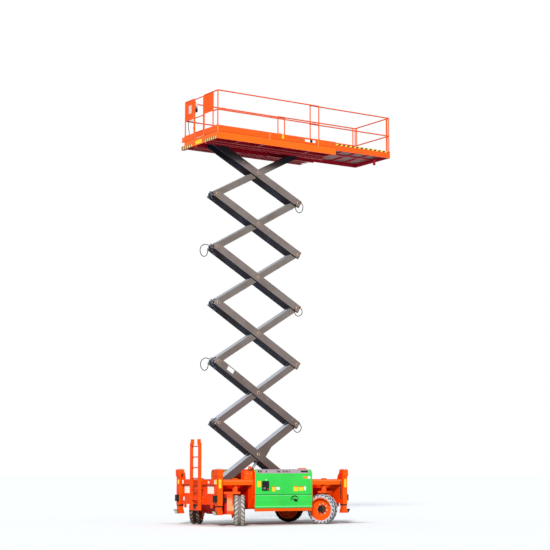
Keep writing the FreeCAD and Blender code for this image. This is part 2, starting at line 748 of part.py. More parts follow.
def hood():
    """A hinged hood: outer face, rounded top edge and end walls in one shell, open at its inner
    side and bottom, with a lip that wraps past the rear bulkhead and the two sleeves that turn on
    the pod's rod."""
    top_in = pod_inner + hood_hinge_inset + hinge_sleeve_radius + 4

    def skin(inset, x, x_end):
        """The hood's section, a distance inside its outer face, from one place along X to another."""
        out = pod_outer - inset
        top = hood_top - inset
        turn = hood_corner - inset
        bend = turn * (1 - cos(radians(45)))
        low = hood_bottom if inset == 0 else hood_bottom - 10
        inner = top_in if inset == 0 else top_in - 10
        edges = [Part.LineSegment(Vec(x, inner, top), Vec(x, out - turn, top)),
                 Part.Arc(Vec(x, out - turn, top), Vec(x, out - bend, top - bend), Vec(x, out, top - turn)),
                 Part.LineSegment(Vec(x, out, top - turn), Vec(x, out, hood_bottom + hood_skirt)),
                 Part.LineSegment(Vec(x, out, hood_bottom + hood_skirt), Vec(x, out - hood_skirt_in, low)),
                 Part.LineSegment(Vec(x, out - hood_skirt_in, low), Vec(x, inner, low)),
                 Part.LineSegment(Vec(x, inner, low), Vec(x, inner, top))]
        wire = Part.Wire([edge.toShape() for edge in edges])
        return Part.Face(wire).extrude(Vec(x_end - x, 0, 0))

    shell = skin(0, pod_rear_x, pod_front_x).cut(skin(hood_thick, pod_rear_x + hood_thick, pod_front_x - hood_thick))
    rear = pod_rear_x - hood_wrap
    wrap = skin(0, rear, pod_rear_x).cut(skin(hood_thick, rear - 1, pod_rear_x + 1))
    shell = shell.fuse(wrap.cut(box(rear - 1, pod_rear_x, 0, side_beam_outer + 10, 0, hood_top + 1)))
    hinge_y = pod_inner + hood_hinge_inset
    hinge_z = hood_top - hinge_sleeve_radius
    for x in (pod_rear_x + 300, pod_front_x - 420):
        sleeve = rod(hinge_sleeve_radius, Vec(x, hinge_y, hinge_z), Vec(x + 120, hinge_y, hinge_z))
        leaf = box(x, x + 120, hinge_y, top_in + 20, hood_top - 12, hood_top)
        shell = shell.fuse(sleeve.fuse(leaf))
    return shell.cut(rod(hinge_rod_radius + running_gap, Vec(pod_rear_x - 1, hinge_y, hinge_z),
                         Vec(pod_front_x + 1, hinge_y, hinge_z)))


def side_pods():
    """The trays and hoods on both sides, the engine, the saddle box and the beacon."""
    save("pod_trays", Part.makeCompound(both_sides(pod())))
    save("hood_far", hood())
    save("hood_near", far_copy(hood()))
    x = (pod_rear_x + pod_front_x) / 2
    y = -(pod_inner + pod_wall + 90)
    z = pod_bottom + pod_floor
    save("engine_block", box(x - engine_length / 2, x + engine_length / 2, y, y - engine_width, z,
                             z + engine_height))
    save("saddle_box", box(saddle_box_rear, -bulkhead_x - bulkhead_thick, -saddle_box_inner,
                           -side_beam_outer, side_beam_top, saddle_box_top))
    low = Vec(-bulkhead_x - bulkhead_thick - beacon_radius - 2, -side_beam_outer + beacon_radius + 2, saddle_box_top)
    dome = Part.makeCone(beacon_radius, beacon_radius * 0.72, beacon_height, low, Z_AXIS)
    save("beacon", dome)


def ladder():
    """The fixed ladder on the rear end: two channel stringers, round rungs, a foot plate and two
    brackets."""
    x0, x1 = ladder_face_x, ladder_face_x + ladder_depth
    near, far = ladder_y - ladder_half_width, ladder_y + ladder_half_width
    pieces = []
    for side, y in ((1, near), (-1, far)):
        low = box(x0, x1, y, y + side * ladder_stringer, ladder_bottom, ladder_narrow_from)
        high_y = y + side * ladder_narrow_in
        high = box(x0, x1, high_y, high_y + side * ladder_stringer, ladder_narrow_from - 60, ladder_top)
        step = box(x0, x1, y, high_y + side * ladder_stringer, ladder_narrow_from - 60, ladder_narrow_from)
        pieces += [low, high, step]
    x_mid = (x0 + x1) / 2
    z = ladder_first_rung
    while z < ladder_top - 60:
        inset = ladder_narrow_in if z > ladder_narrow_from else 0.0
        pieces.append(rod(ladder_rung_radius, Vec(x_mid, near + inset + 5, z), Vec(x_mid, far - inset - 5, z)))
        z += ladder_rung_pitch
    for z in (end_beam_bottom + 80, end_sill_bottom + 70):
        pieces.append(box(x1 - 1, -end_frame_outer_x, near, far, z, z + 50))
    pieces.append(box(x0 + 10, x0 + 30, near, far, ladder_bottom, ladder_bottom + ladder_foot_plate))
    save("ladder", join(pieces))


def deck():
    """The platform's frame: side channels, track girders, cross beams and end beams."""
    z = deck_z
    out, wall, flange = deck_half_width, deck_side_wall, deck_side_flange
    web = box(deck_rear_x, deck_front_x, out - wall, out, z, z + deck_side_height)
    low = box(deck_rear_x, deck_front_x, out - flange, out, z, z + wall)
    high = box(deck_rear_x, deck_front_x, out - flange, out, z + deck_side_height - wall,
               z + deck_side_height)
    pieces = both_sides(join([web, low, high]))
    low = z + deck_pin_rise - roller_radius - slide_gap - track_wall
    girder = track_girder(z + deck_pin_rise, low, z + deck_side_height, deck_rear_x, deck_front_x)
    pieces += both_sides(girder)
    beam_high = ext_beam_bottom - moving_gap - 4
    first, last = deck_rear_x + deck_cross_width / 2, deck_front_x - deck_cross_width / 2
    for step in range(deck_cross_count):
        x = first + (last - first) * step / (deck_cross_count - 1)
        half = deck_cross_width / 2
        long_bar = box(x - half, x + half, girder_outer_y - 1, out - wall, z + 30, z + beam_high)
        tall_bar = box(x - half, x + half, girder_outer_y - 1, deck_floor_half_width, z + 30,
                       z + deck_side_height)
        pieces += both_sides(long_bar.fuse(tall_bar))
    pieces.append(box(deck_rear_x, deck_rear_x + wall, -out + wall, out - wall, z, z + deck_side_height))
    pad_top = z + ext_beam_bottom - slide_gap
    pieces += both_sides(box(deck_front_x - 110, deck_front_x, ext_beam_outer - ext_beam_width,
                             out - wall, z + beam_high - 5, pad_top))
    deck_frame = join(pieces)
    pin = pin_bore(pin_radius + running_gap, deck_pin_x, z + deck_pin_rise)
    save("deck_frame", deck_frame.cut(pin))
    floor = box(deck_rear_x + toe_board_thick, deck_front_x, -deck_floor_half_width, deck_floor_half_width,
                z + deck_side_height, floor_z)
    save("deck_floor", floor)
    board = box(deck_rear_x, deck_front_x, out - toe_board_thick, out, z + deck_side_height, z + toe_board_top)
    end_board = [box(deck_rear_x, deck_rear_x + toe_board_thick, -out + toe_board_thick, gate_near_y,
                     z + deck_side_height, z + toe_board_top),
                 box(deck_rear_x, deck_rear_x + toe_board_thick, gate_far_y, out - toe_board_thick,
                     z + deck_side_height, z + toe_board_top)]
    near = join([far_copy(board), end_board[0]])
    far = join([board, end_board[1]])
    save("toe_boards", Part.makeCompound([near, far]))


def rail_line(x0, x1, y, z):
    return rod(rail_radius, Vec(x0, y, z), Vec(x1, y, z))


def main_rails():
    """Guard rails of the main deck: a long side frame on each side and the rear end's frames."""
    y = deck_half_width - rail_radius
    x0, x1 = deck_rear_x + rail_radius, main_rail_end_x
    low = deck_z + toe_board_top
    top, mid = deck_z + top_rail_rise, deck_z + mid_rail_rise
    post_low = deck_z + deck_side_height
    side = join([rail_line(x0, x1, y, top), rail_line(x0, x1, y, mid),
                 rod(post_radius, Vec(x0, y, post_low), Vec(x0, y, top)),
                 rod(post_radius, Vec(x1, y, post_low), Vec(x1, y, top))])
    trim = box(deck_rear_x, deck_rear_x + toe_board_thick, -y, deck_half_width, deck_z, low)
    side = side.cut(trim)
    side = side.cut(box(deck_rear_x, x1 + 100, deck_half_width - toe_board_thick, deck_half_width, deck_z, low))
    save("side_rails", Part.makeCompound(both_sides(side)))
    posts = [rod(post_radius, Vec(x0, post_y, floor_z), Vec(x0, post_y, top))
             for post_y in (gate_far_y, gate_near_y, panel_near_y)]
    ties = [rod(rail_radius, Vec(x0, -y + rail_radius, top), Vec(x0, gate_near_y, top)),
            rod(rail_radius, Vec(x0, gate_far_y, top), Vec(x0, y - rail_radius, top)),
            rod(rail_radius, Vec(x0, -y + rail_radius, mid), Vec(x0, panel_near_y, mid))]
    near_panel = box(x0 - 3, x0 + 3, gate_near_y, panel_near_y, top - near_panel_drop, top)
    far_panel = box(x0 - 3, x0 + 3, gate_far_y + 2 * rail_radius + moving_gap, y - rail_radius,
                    top - far_panel_drop, top)
    near_frame = join([posts[1], posts[2], ties[0], ties[2], near_panel])
    far_frame = join([posts[0], ties[1], far_panel])
    save("rear_rails", Part.makeCompound([near_frame.cut(trim), far_frame.cut(trim)]))


def gate():
    """The entry gate in the rear end, hinged on the far post."""
    x = deck_rear_x + rail_radius
    clear = rail_radius * 2 + moving_gap
    y0, y1 = gate_near_y + clear, gate_far_y - clear
    top, mid = deck_z + top_rail_rise - 20, deck_z + gate_mid_rise
    low = deck_z + toe_board_top
    r = rail_radius - 3
    frame = [rod(r, Vec(x, y0, z), Vec(x, y1, z)) for z in (top, mid, low)]
    frame += [rod(r, Vec(x, y, low), Vec(x, y, top)) for y in (y0, y1)]
    frame.append(box(x - 3, x + 3, y0, y1, floor_z + 12, low))
    for z in (low + 120, top - 120):
        ring = rod(rail_radius + 10, Vec(x, gate_far_y, z), Vec(x, gate_far_y, z + 60))
        ear = box(x - 6, x + 6, y1, gate_far_y - rail_radius - 4, z, z + 60)
        frame.append(ring.fuse(ear).cut(rod(post_radius + running_gap, Vec(x, gate_far_y, z - 1),
                                            Vec(x, gate_far_y, z + 61))))
    save("entry_gate", join(frame))


def extension():
    """The roll-out deck: side beams on slide pads, cross beams, toe strips, floor and rails."""
    z = deck_z
    y_out = ext_beam_outer
    y_in = y_out - ext_beam_width
    beam = box(ext_rear_x, ext_front_x, y_in, y_out, z + ext_beam_bottom, z + ext_beam_top)
    front = box(ext_front_x - 50, ext_front_x, -y_in, y_in, z + ext_beam_bottom, z + ext_beam_top)
    under = floor_z + moving_gap + 2
    cross = []
    for step in range(ext_cross_count):
        x = deck_front_x + 60 + (ext_front_x - deck_front_x - 120) * step / ext_cross_count
        cross.append(box(x, x + 60, -y_in, y_in, under, under + ext_cross_depth))
    cross.append(box(ext_rear_x, ext_rear_x + 60, -y_in, y_in, under, under + ext_cross_depth))
    cross.append(box(ext_rear_x, ext_front_x - 50, -40, 40, under, under + ext_cross_depth))
    strip = box(deck_front_x + 4, ext_front_x, y_out - toe_board_thick, y_out, z + ext_beam_top, z + ext_toe_top)
    end_strip = box(ext_front_x - toe_board_thick, ext_front_x, -y_out + toe_board_thick,
                    y_out - toe_board_thick, z + ext_beam_top, z + ext_toe_top)
    save("extension_frame", join(both_sides(beam) + [front] + cross + both_sides(strip) + [end_strip]))
    plate_z = under + ext_cross_depth
    save("extension_floor", box(ext_rear_x, ext_front_x - 50, -y_in, y_in, plate_z, plate_z + 6))
    y = y_out - toe_board_thick - rail_radius
    low = z + ext_beam_top
    top, mid = z + top_rail_rise, z + mid_rail_rise
    x0, x1 = ext_rear_x + rail_radius, ext_front_x - toe_board_thick - rail_radius
    side = join([rail_line(x0, x1, y, top), rail_line(x0, x1, y, mid),
                 rod(post_radius, Vec(x0, y, low), Vec(x0, y, top)),
                 rod(post_radius, Vec(x1 - 90, y, low), Vec(x1 - 90, y, top)),
                 rod(post_radius, Vec(x1, y, low), Vec(x1, y, top))])
    save("extension_side_rails", Part.makeCompound(both_sides(side)))
    cut_y = y - rail_radius
    middle = [rod(rail_radius, Vec(x1, -cut_y, level), Vec(x1, cut_y, level)) for level in (top, mid)]
    middle += both_sides(rod(post_radius, Vec(x1, cut_y - 60, low), Vec(x1, cut_y - 60, top)))
    save("extension_rail_front", join(middle))


def cable_route():
    """The control cable's points, from the control box down to its gland in the floor."""
    drop = deck_z + top_rail_rise - 40 - control_box_size - floor_z
    points = [(104, 106, 1.0), (104, 106, 0.919), (92, 78, 0.786), (85, 68, 0.623), (87, 80, 0.461),
              (95, 106, 0.299), (108, 136, 0.183), (118, 158, 0.102), (118, 158, 0.0)]
    return [Vec(deck_rear_x + x, deck_half_width - inset, floor_z + share * drop) for x, inset, share in points]


def control_box():
    """The platform's control box on the far rear corner's rails, and its cable."""
    y1 = deck_half_width - 2 * rail_radius - slide_gap
    x0 = deck_rear_x + 60
    rail_z = deck_z + top_rail_rise
    top = rail_z - 40
    case = box(x0, x0 + control_box_length, y1 - control_box_size, y1, top - control_box_size, top)
    strap = box(x0 + 60, x0 + control_box_length - 60, y1 - 8, y1, top - 1, rail_z)
    save("control_box", case.fuse(strap))
    save("control_cable", cord_tube(cable_route(), cable_radius))


def main():
    os.makedirs("parts", exist_ok=True)
    spine()
    side_beams()
    outrigger_tubes()
    end_frame()
    bumpers()
    ladder()
    side_pods()
    wheels()
    scissor_base()
    scissor_arms()
    lift_cylinder()
    deck()
    main_rails()
    gate()
    extension()
    control_box()


main()
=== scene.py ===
"""The looks of a self-propelled scissor lift: its finishes, lamps and small fittings, put over the
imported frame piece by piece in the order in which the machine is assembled."""
import json

import bmesh
import bpy
import numpy as np
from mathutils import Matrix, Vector

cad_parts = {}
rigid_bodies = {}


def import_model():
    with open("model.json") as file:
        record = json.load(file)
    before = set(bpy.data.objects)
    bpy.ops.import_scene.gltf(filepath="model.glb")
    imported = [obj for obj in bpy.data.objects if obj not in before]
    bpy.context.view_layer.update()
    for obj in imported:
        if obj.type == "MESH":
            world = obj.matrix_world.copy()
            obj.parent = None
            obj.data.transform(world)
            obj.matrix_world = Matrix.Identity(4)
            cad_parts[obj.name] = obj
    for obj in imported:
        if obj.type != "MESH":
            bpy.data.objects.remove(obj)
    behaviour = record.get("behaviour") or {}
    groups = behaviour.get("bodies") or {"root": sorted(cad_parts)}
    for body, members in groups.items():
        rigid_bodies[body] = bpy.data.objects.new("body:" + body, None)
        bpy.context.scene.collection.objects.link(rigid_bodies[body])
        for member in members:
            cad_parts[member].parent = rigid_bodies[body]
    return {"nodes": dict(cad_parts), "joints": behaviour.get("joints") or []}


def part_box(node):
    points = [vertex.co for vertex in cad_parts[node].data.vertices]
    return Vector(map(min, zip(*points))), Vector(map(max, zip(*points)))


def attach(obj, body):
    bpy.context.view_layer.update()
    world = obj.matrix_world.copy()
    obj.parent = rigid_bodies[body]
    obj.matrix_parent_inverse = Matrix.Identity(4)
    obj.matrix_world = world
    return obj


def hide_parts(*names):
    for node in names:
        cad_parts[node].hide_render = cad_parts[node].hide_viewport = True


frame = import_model()
nodes = frame["nodes"]
joints = {joint["name"]: joint for joint in frame["joints"]}
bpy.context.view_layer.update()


# The view of the photograph: a long lens at waist height, forty metres off the rear near corner.
chassis_x = -0.8715     # the middle of the chassis along the machine


def at(x, y, z):
    """A point given from the middle of the chassis, on the ground."""
    return np.array((x + chassis_x, y, z))


camera = bpy.data.objects.new("camera", bpy.data.cameras.new("camera"))
camera.data.sensor_width = 36.0
camera.data.lens = 98.47
camera.data.clip_end = 500.0
camera.location = Vector(at(-23.567, -35.778, 1.482))
camera.rotation_euler = Vector((0.5523, 0.8236, 0.1291)).to_track_quat("-Z", "Y").to_euler()
bpy.context.scene.collection.objects.link(camera)
bpy.context.scene.camera = camera
bpy.context.scene.view_settings.view_transform = "Standard"


# The studio: a pale floor that fades into a white backdrop, one wide lamp over the camera's left
# shoulder and an even dome of light.
class Wire:
    """One socket of a node tree. Sums and products of wires and numbers add Math nodes."""

    def __init__(self, shader, socket):
        self.shader, self.socket = shader, socket

    def math(self, operation, first, second, clamp=False):
        return self.shader.node("Math", {"operation": operation, "use_clamp": clamp}, {0: first, 1: second})

    def __add__(self, other):
        return self.math("ADD", self, other)

    def __sub__(self, other):
        return self.math("SUBTRACT", self, other)

    def __rsub__(self, other):
        return self.math("SUBTRACT", other, self)

    def __mul__(self, other):
        return self.math("MULTIPLY", self, other)

    __radd__, __rmul__ = __add__, __mul__

    def clip(self):
        return self.math("MULTIPLY", self, 1.0, clamp=True)

    def size(self):
        return self.math("ABSOLUTE", self, 0.0)

    def sine(self):
        return self.math("SINE", self, 0.0)

    def above(self, level, softness):
        """0 below a level and 1 above it, with a soft step between."""
        return self.math("MULTIPLY", self - (level - softness / 2), 1 / softness, clamp=True)

    def below(self, level, softness):
        """1 below a level and 0 above it, with a soft step between."""
        return (0.0 - self).above(0.0 - level, softness)


class Shader:
    """The node tree of a material or of the world."""

    def __init__(self, owner):
        self.owner = owner
        owner.use_nodes = True
        self.tree = owner.node_tree
        self.tree.nodes.clear()

    def node(self, kind, settings=None, sockets=None, out=0):
        """Adds a node: its settings first, then the values or wires of its sockets."""
        made = self.tree.nodes.new("ShaderNode" + kind)
        for name, value in (settings or {}).items():
            setattr(made, name, value)
        for name, value in (sockets or {}).items():
            if isinstance(value, Wire):
                self.tree.links.new(value.socket, made.inputs[name])
            else:
                made.inputs[name].default_value = value
        return Wire(self, made.outputs[out]) if made.outputs else None

    def mix(self, low, high, share):
        """One colour turning into another as the share goes from 0 to 1."""
        return self.node("Mix", {"data_type": "RGBA"}, {0: share, 6: low, 7: high}, out=2)

    def noise(self, place, scale, detail=3.0, rough=0.55):
        return self.node("TexNoise", None, {"Vector": place, "Scale": scale, "Detail": detail,
                                            "Roughness": rough})

    def place(self, stretch=(1.0, 1.0, 1.0), shift=(0.0, 0.0, 0.0)):
        """The surface's own coordinates in metres, stretched and shifted."""
        here = self.node("TexCoord", out="Object")
        return self.node("Mapping", None, {"Vector": here, "Location": shift, "Scale": stretch})

    def parts(self, vector):
        """The three numbers of a vector."""
        split = self.node("SeparateXYZ", None, {0: vector})
        outputs = split.socket.node.outputs
        return [Wire(self, outputs[number]) for number in range(3)]

    def facing(self):
        """How far the surface faces along X, Y and Z."""
        return self.parts(self.node("TexCoord", out="Normal"))

    def relief(self, strength, distance, height):
        """Fine relief on the surface: a normal that follows a height."""
        return self.node("Bump", None, {"Strength": strength, "Distance": distance, "Height": height})

    def finish(self, sockets):
        """Ends a material with one surface, and returns the material."""
        self.node("OutputMaterial", None, {"Surface": self.node("BsdfPrincipled", None, sockets)})
        return self.owner


def new_shader(name):
    """The empty node tree of a new material."""
    return Shader(bpy.data.materials.new(name))


def tint(red, green, blue):
    """A colour as the eye reads it, 0 to 255, as the shader's linear values."""
    shares = (red / 255, green / 255, blue / 255)
    return tuple(((v + 0.055) / 1.055) ** 2.4 if v > 0.04 else v / 12.92 for v in shares) + (1.0,)


def dim(colour, share):
    """A share of a colour's light."""
    return tuple(share * v for v in colour[:3]) + (1.0,)


def rays_seen(shader, kinds):
    """1 where a ray is of one of these kinds, which see the thing itself, and 0 for its light."""
    rays = shader.node("LightPath").socket.node.outputs
    found = Wire(shader, rays[kinds[0]])
    for kind in kinds[1:]:
        found = found + Wire(shader, rays[kind])
    return found.clip()


world = bpy.data.worlds.new("dome")
bpy.context.scene.world = world
dome = Shader(world)
backdrop = (1.0, 1.0, 1.0, 1.0)
seen = rays_seen(dome, ("Is Camera Ray", "Is Glossy Ray", "Is Transmission Ray"))
dome_light = dome.node("Background", None, {"Color": tint(246, 250, 255), "Strength": 0.46})
dome_seen = dome.node("Background", None, {"Color": backdrop, "Strength": 1.0})
both = dome.node("MixShader", None, {0: seen, 1: dome_light, 2: dome_seen})
dome.node("OutputWorld", None, {"Surface": both})

lamp = bpy.data.objects.new("lamp", bpy.data.lights.new("lamp", "SUN"))
lamp.data.energy = 3.2
lamp.data.angle = np.radians(9)
lamp.rotation_euler = Vector((0.575, 0.71, -0.41)).to_track_quat("-Z", "Y").to_euler()
bpy.context.scene.collection.objects.link(lamp)

floor_mesh = bpy.data.meshes.new("floor")
reach = 400.0
floor_corners = [(x * reach, y * reach, 0) for x, y in ((-1, -1), (1, -1), (1, 1), (-1, 1))]
floor_mesh.from_pydata(floor_corners, [], [(0, 1, 2, 3)])
floor = bpy.data.objects.new("floor", floor_mesh)
bpy.context.scene.collection.objects.link(floor)
ground = new_shader("studio_floor")
seen = rays_seen(ground, ("Is Camera Ray", "Is Glossy Ray"))
across, deep, _ = ground.parts(ground.place(shift=(-chassis_x, 0, 0)))
# A shadow painted on the floor under the machine, darker towards the front, with soft edges left, right, in
# front and behind; inside it the backdrop's glow is weaker too.
patch = (across.above(-2.25, 0.25) * across.below(3.3, 0.9)
         * (deep - across * 0.19).above(-1.30, 0.12) * deep.below(2.25, 0.3))
painted_shadow_tone = ground.mix((0.98, 0.97, 0.96, 1), (0.60, 0.60, 0.60, 1), across.above(0.6, 2.0))
floor_with_painted_shadow = ground.mix((1.06, 1.08, 1.10, 1), painted_shadow_tone, patch)
matt = ground.node("BsdfDiffuse", None, {"Color": ground.mix((0.62, 0.61, 0.60, 1), floor_with_painted_shadow, seen)})
glow_colour = ground.mix((0.0, 0.0, 0.0, 1.0), backdrop, seen * 0.08 * (1.0 - patch * 0.7))
glow = ground.node("Emission", None, {"Color": glow_colour, "Strength": 1.0})
ground.node("OutputMaterial", None, {"Surface": ground.node("AddShader", None, {0: matt, 1: glow})})
floor_mesh.materials.append(ground.owner)


# The chassis: a welded steel frame with upright corner tubes, in orange gloss paint that has dulled
# on top and chipped a little, with shade painted underneath and in its bays.
def painted(name, colour, low_colour, gloss=0.34, chips=0.02, dust_and_sheen=0.2, dark=0.55, shine=0.12,
            zones=()):
    """Steel under gloss paint: faded in patches, dusted on top, with shade painted on the faces that look
    down, and with small chips. Each zone is a colour and a function of the place and the facing that says
    where it is."""
    coat = new_shader(name)
    here = coat.place()
    patch = coat.noise(here, 1.6, 4.0)
    speck = coat.noise(here, 38.0, 5.0, 0.7)
    streak = coat.noise(coat.place((9.0, 9.0, 0.8)), 1.0, 4.0)
    facing = coat.facing()
    up = facing[2]
    paint = coat.mix(colour, dim(colour, 0.80), patch.above(0.56, 0.30) * 0.6)
    paint = coat.mix(paint, tint(170, 96, 60), streak.above(0.66, 0.16) * 0.10)
    paint = coat.mix(paint, tint(196, 170, 150), up.above(0.6, 0.3) * patch.above(0.42, 0.4) * dust_and_sheen)
    for zone_colour, mask in zones:
        place = coat.parts(coat.place(shift=(-chassis_x, 0, 0)))
        paint = coat.mix(paint, zone_colour, mask(place, facing).clip())
    # Painted shade: the faces that look down turn towards the low colour.
    paint = coat.mix(paint, low_colour, up.below(-0.55, 0.5) * dark)
    chip = speck.above(0.76 - chips, 0.03)
    paint = coat.mix(paint, tint(96, 62, 48), chip * 0.5)
    rough = patch * 0.16 + speck * 0.10 + (gloss - 0.12)
    bump = coat.relief(0.10, 0.002, speck - chip * 0.4)
    return coat.finish({"Base Color": paint, "Roughness": rough, "Normal": bump,
                        "Specular IOR Level": shine})


def wear(names, material):
    """Puts a finish on CAD pieces."""
    for name in names:
        for slot in nodes[name].material_slots:
            slot.material = material


rear_shade = (tint(238, 66, 2), lambda place, facing: facing[0].below(-0.6, 0.3))
# Painted shade in the chassis's bays: a dark red for the belly and the insides.
painted_shade_red = tint(196, 10, 2)
orange = painted("orange_paint", tint(250, 92, 6), tint(150, 22, 8), dark=0.8, zones=(rear_shade,))
# The side beams: a redder orange below their tops and dark red between them, both painted shade.
beam_orange = painted(
    "orange_beams", tint(250, 98, 18), tint(186, 8, 2), dark=0.9, shine=0.03, zones=(
        (tint(255, 70, 4), lambda place, facing: place[2].below(1.097, 0.004)),
        (painted_shade_red, lambda place, facing: place[1].size().below(0.80, 0.02))))
# The spine and the scissor base, inside the bays, painted as a shaded dark red-orange, darker low down.
shaded_inner_orange = painted(
    "orange_inner", tint(226, 24, 4), tint(90, 3, 2), dark=0.9, shine=0.0, zones=(
        (painted_shade_red, lambda place, facing: place[2].below(0.95, 0.5) * 0.8),))
wear(("outrigger_tubes", "end_frames", "pod_trays", "saddle_box"), orange)
wear(("side_beams",), beam_orange)
wear(("chassis_spine", "scissor_base"), shaded_inner_orange)


def lathe(profile, centre, axis, steps=24):
    """Circles around an axis: one for each radius and height of a profile."""
    axis = np.array(axis, float) / np.linalg.norm(axis)
    side = np.cross(axis, (0.0, 0.0, 1.0) if abs(axis[2]) < 0.9 else (1.0, 0.0, 0.0))
    side /= np.linalg.norm(side)
    other = np.cross(axis, side)
    turn = np.arange(steps) * 2 * np.pi / steps
    ring = np.cos(turn)[:, None] * side + np.sin(turn)[:, None] * other
    profile = np.array(profile, float)
    return np.array(centre) + profile[:, 0, None, None] * ring + profile[:, 1, None, None] * axis


def slab(centre, along, up, size, thick, corner=0.0, edge=0.0015, steps=4):
    """A plate that stands on a face: a rounded rectangle carried out along its normal, and drawn in
    at its outer edge. Its centre is on the face, and its normal is along times up."""
    along, up = np.array(along, float), np.array(up, float)
    along, up = along / np.linalg.norm(along), up / np.linalg.norm(up)
    out = np.cross(along, up)
    half_long, half_high = size[0] / 2, size[1] / 2
    corner = max(corner, edge * 1.2)
    arc = np.linspace(0, np.pi / 2, steps)
    turn = (arc[None, :] + np.arange(4)[:, None] * np.pi / 2).ravel()
    signs = np.repeat(np.array([(1, 1), (-1, 1), (-1, -1), (1, -1)]), steps, axis=0)
    middles = signs * (np.array((half_long, half_high)) - corner)
    rows = []
    for inset, height in ((0.0, 0.0), (0.0, thick - edge), (edge, thick)):
        bend = max(corner - inset, 1e-4)
        flat = middles + bend * np.stack((np.cos(turn), np.sin(turn)), 1)
        rows.append(np.array(centre) + flat[:, :1] * along + flat[:, 1:] * up + height * out)
    return np.array(rows)


def make_piece(name, skins, material, body, slot, bend=35):
    """Makes one piece of skins, each of which is rows of closed rings with the first and the last
    ring filled, and lets it ride on a body."""
    points, faces, count = [], [], 0
    for rows in skins:
        high, wide = rows.shape[:2]
        index = count + np.arange(high * wide).reshape(high, wide)
        right = np.roll(index, -1, axis=1)
        faces += np.stack((index[:-1], right[:-1], right[1:], index[1:]), -1).reshape(-1, 4).tolist()
        faces += [index[0][::-1].tolist(), index[-1].tolist()]
        points.append(rows.reshape(-1, 3))
        count += high * wide
    mesh = bpy.data.meshes.new(name)
    mesh.from_pydata(np.concatenate(points).tolist(), [], faces)
    shape = bmesh.new()
    shape.from_mesh(mesh)
    bmesh.ops.recalc_face_normals(shape, faces=shape.faces)
    shape.to_mesh(mesh)
    shape.free()
    mesh.polygons.foreach_set("use_smooth", np.ones(len(mesh.polygons), bool))
    mesh.set_sharp_from_angle(angle=np.radians(bend))
    mesh.materials.append(material)
    piece = bpy.data.objects.new(name, mesh)
    bpy.context.scene.collection.objects.link(piece)
    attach(piece, body)
    return piece


def plain(name, colour, rough=0.5, metallic=0.0, coat=0.0, mottle=0.12, grain=30.0, bump=0.15):
    """A finish of one colour with slight mottling and grain, such as a label, lens or plated metal."""
    cover = new_shader(name)
    speck = cover.noise(cover.place(), grain, 4.0, 0.6)
    shade = cover.mix(colour, dim(colour, 1 - 2.5 * mottle), speck.above(0.5, 0.4) * 0.7)
    return cover.finish({
        "Base Color": shade, "Roughness": speck * 0.2 + (rough - 0.1), "Metallic": metallic,
        "Normal": cover.relief(bump, 0.001, speck), "Coat Weight": coat, "Coat Roughness": 0.1,
        "Specular IOR Level": 0.25})


cream = plain("blank_plate", tint(255, 246, 230), 0.45, coat=0.3, mottle=0.05)
yellow = plain("yellow_label", tint(250, 214, 40), 0.5, coat=0.2, mottle=0.05)
white = plain("white_label", tint(240, 240, 238), 0.5, coat=0.2, mottle=0.04)
black = plain("black_plastic", tint(26, 25, 26), 0.5, mottle=0.25)
amber = plain("amber_label", tint(238, 150, 30), 0.5, coat=0.3, mottle=0.05)


def on_end(end, y, z, size, x, thick, corner=0.006):
    """A plate on a face that looks out of the rear (-1) or front (1) end."""
    return slab(at(end * x, y, z), (0, end, 0), (0, 0, 1), size, thick, corner)


def on_side(side, x, z, size, y, thick, corner=0.006):
    """A plate on a face that looks out of the near (-1) or far (1) side."""
    return slab(at(x, side * y, z), (-side, 0, 0), (0, 0, 1), size, thick, corner)


def tube(points, radius, steps=10):
    """A round section carried along a line of points, square to the line at each of them."""
    points = np.array(points, float)
    ahead = np.gradient(points, axis=0)
    ahead /= np.linalg.norm(ahead, axis=1, keepdims=True)
    up = np.array((0.0, 0.0, 1.0)) if abs(ahead[:, 2]).max() < 0.95 else np.array((0.17, 0.98, 0.05))
    side = np.cross(ahead, up)
    side /= np.linalg.norm(side, axis=1, keepdims=True)
    other = np.cross(side, ahead)
    turn = np.arange(steps) * 2 * np.pi / steps
    ring = np.cos(turn)[None, :, None] * side[:, None] + np.sin(turn)[None, :, None] * other[:, None]
    radius = np.broadcast_to(np.array(radius, float), (len(points),))
    return points[:, None] + radius[:, None, None] * ring


chassis = ("chassis", "chassis_orange")     # the body that a piece rides on, and its slot
chassis_black = ("chassis", "box_black")
ends = (-1, 1)                              # rear and front
sides = (-1, 1)                             # near and far
corners = [(e, s) for e in ends for s in sides]
# How far the end frames' faces and webs, the corner tubes' faces and the side beams' faces lie out.
end_face, web_face, tube_end, tube_side, beam_side = 2.117, 2.027, 2.157, 1.102, 1.035
end_plates = [on_end(e, y, 0.969, size, web_face, 0.004) for e in ends
              for y, size in ((0.721, (0.296, 0.204)), (-0.529, (0.327, 0.212)))]
make_piece("end_plates", end_plates, cream, *chassis)
tags = [on_end(e, y, z, size, end_face, 0.003) for e in ends for y, z, size in (
    (0.815, 1.180, (0.062, 0.112)), (-0.875, 1.180, (0.050, 0.112)), (0.755, 0.722, (0.070, 0.100)))]
make_piece("end_tags", tags, white, *chassis)
disc = [(0.036, 0), (0.036, 0.005), (0.028, 0.008), (0.003, 0.008)]
discs = [lathe(disc, at(e * end_face, -0.560, 1.172), (e, 0, 0), 20) for e in ends]
make_piece("end_discs", discs, white, *chassis)
labels = [on_side(s, e * 2.090, 1.135, (0.078, 0.232), tube_side, 0.002) for e, s in corners]
labels += [on_end(e, s * 1.000, 1.182, (0.085, 0.118), tube_end, 0.002) for e, s in corners]
make_piece("tube_labels", labels, yellow, *chassis)
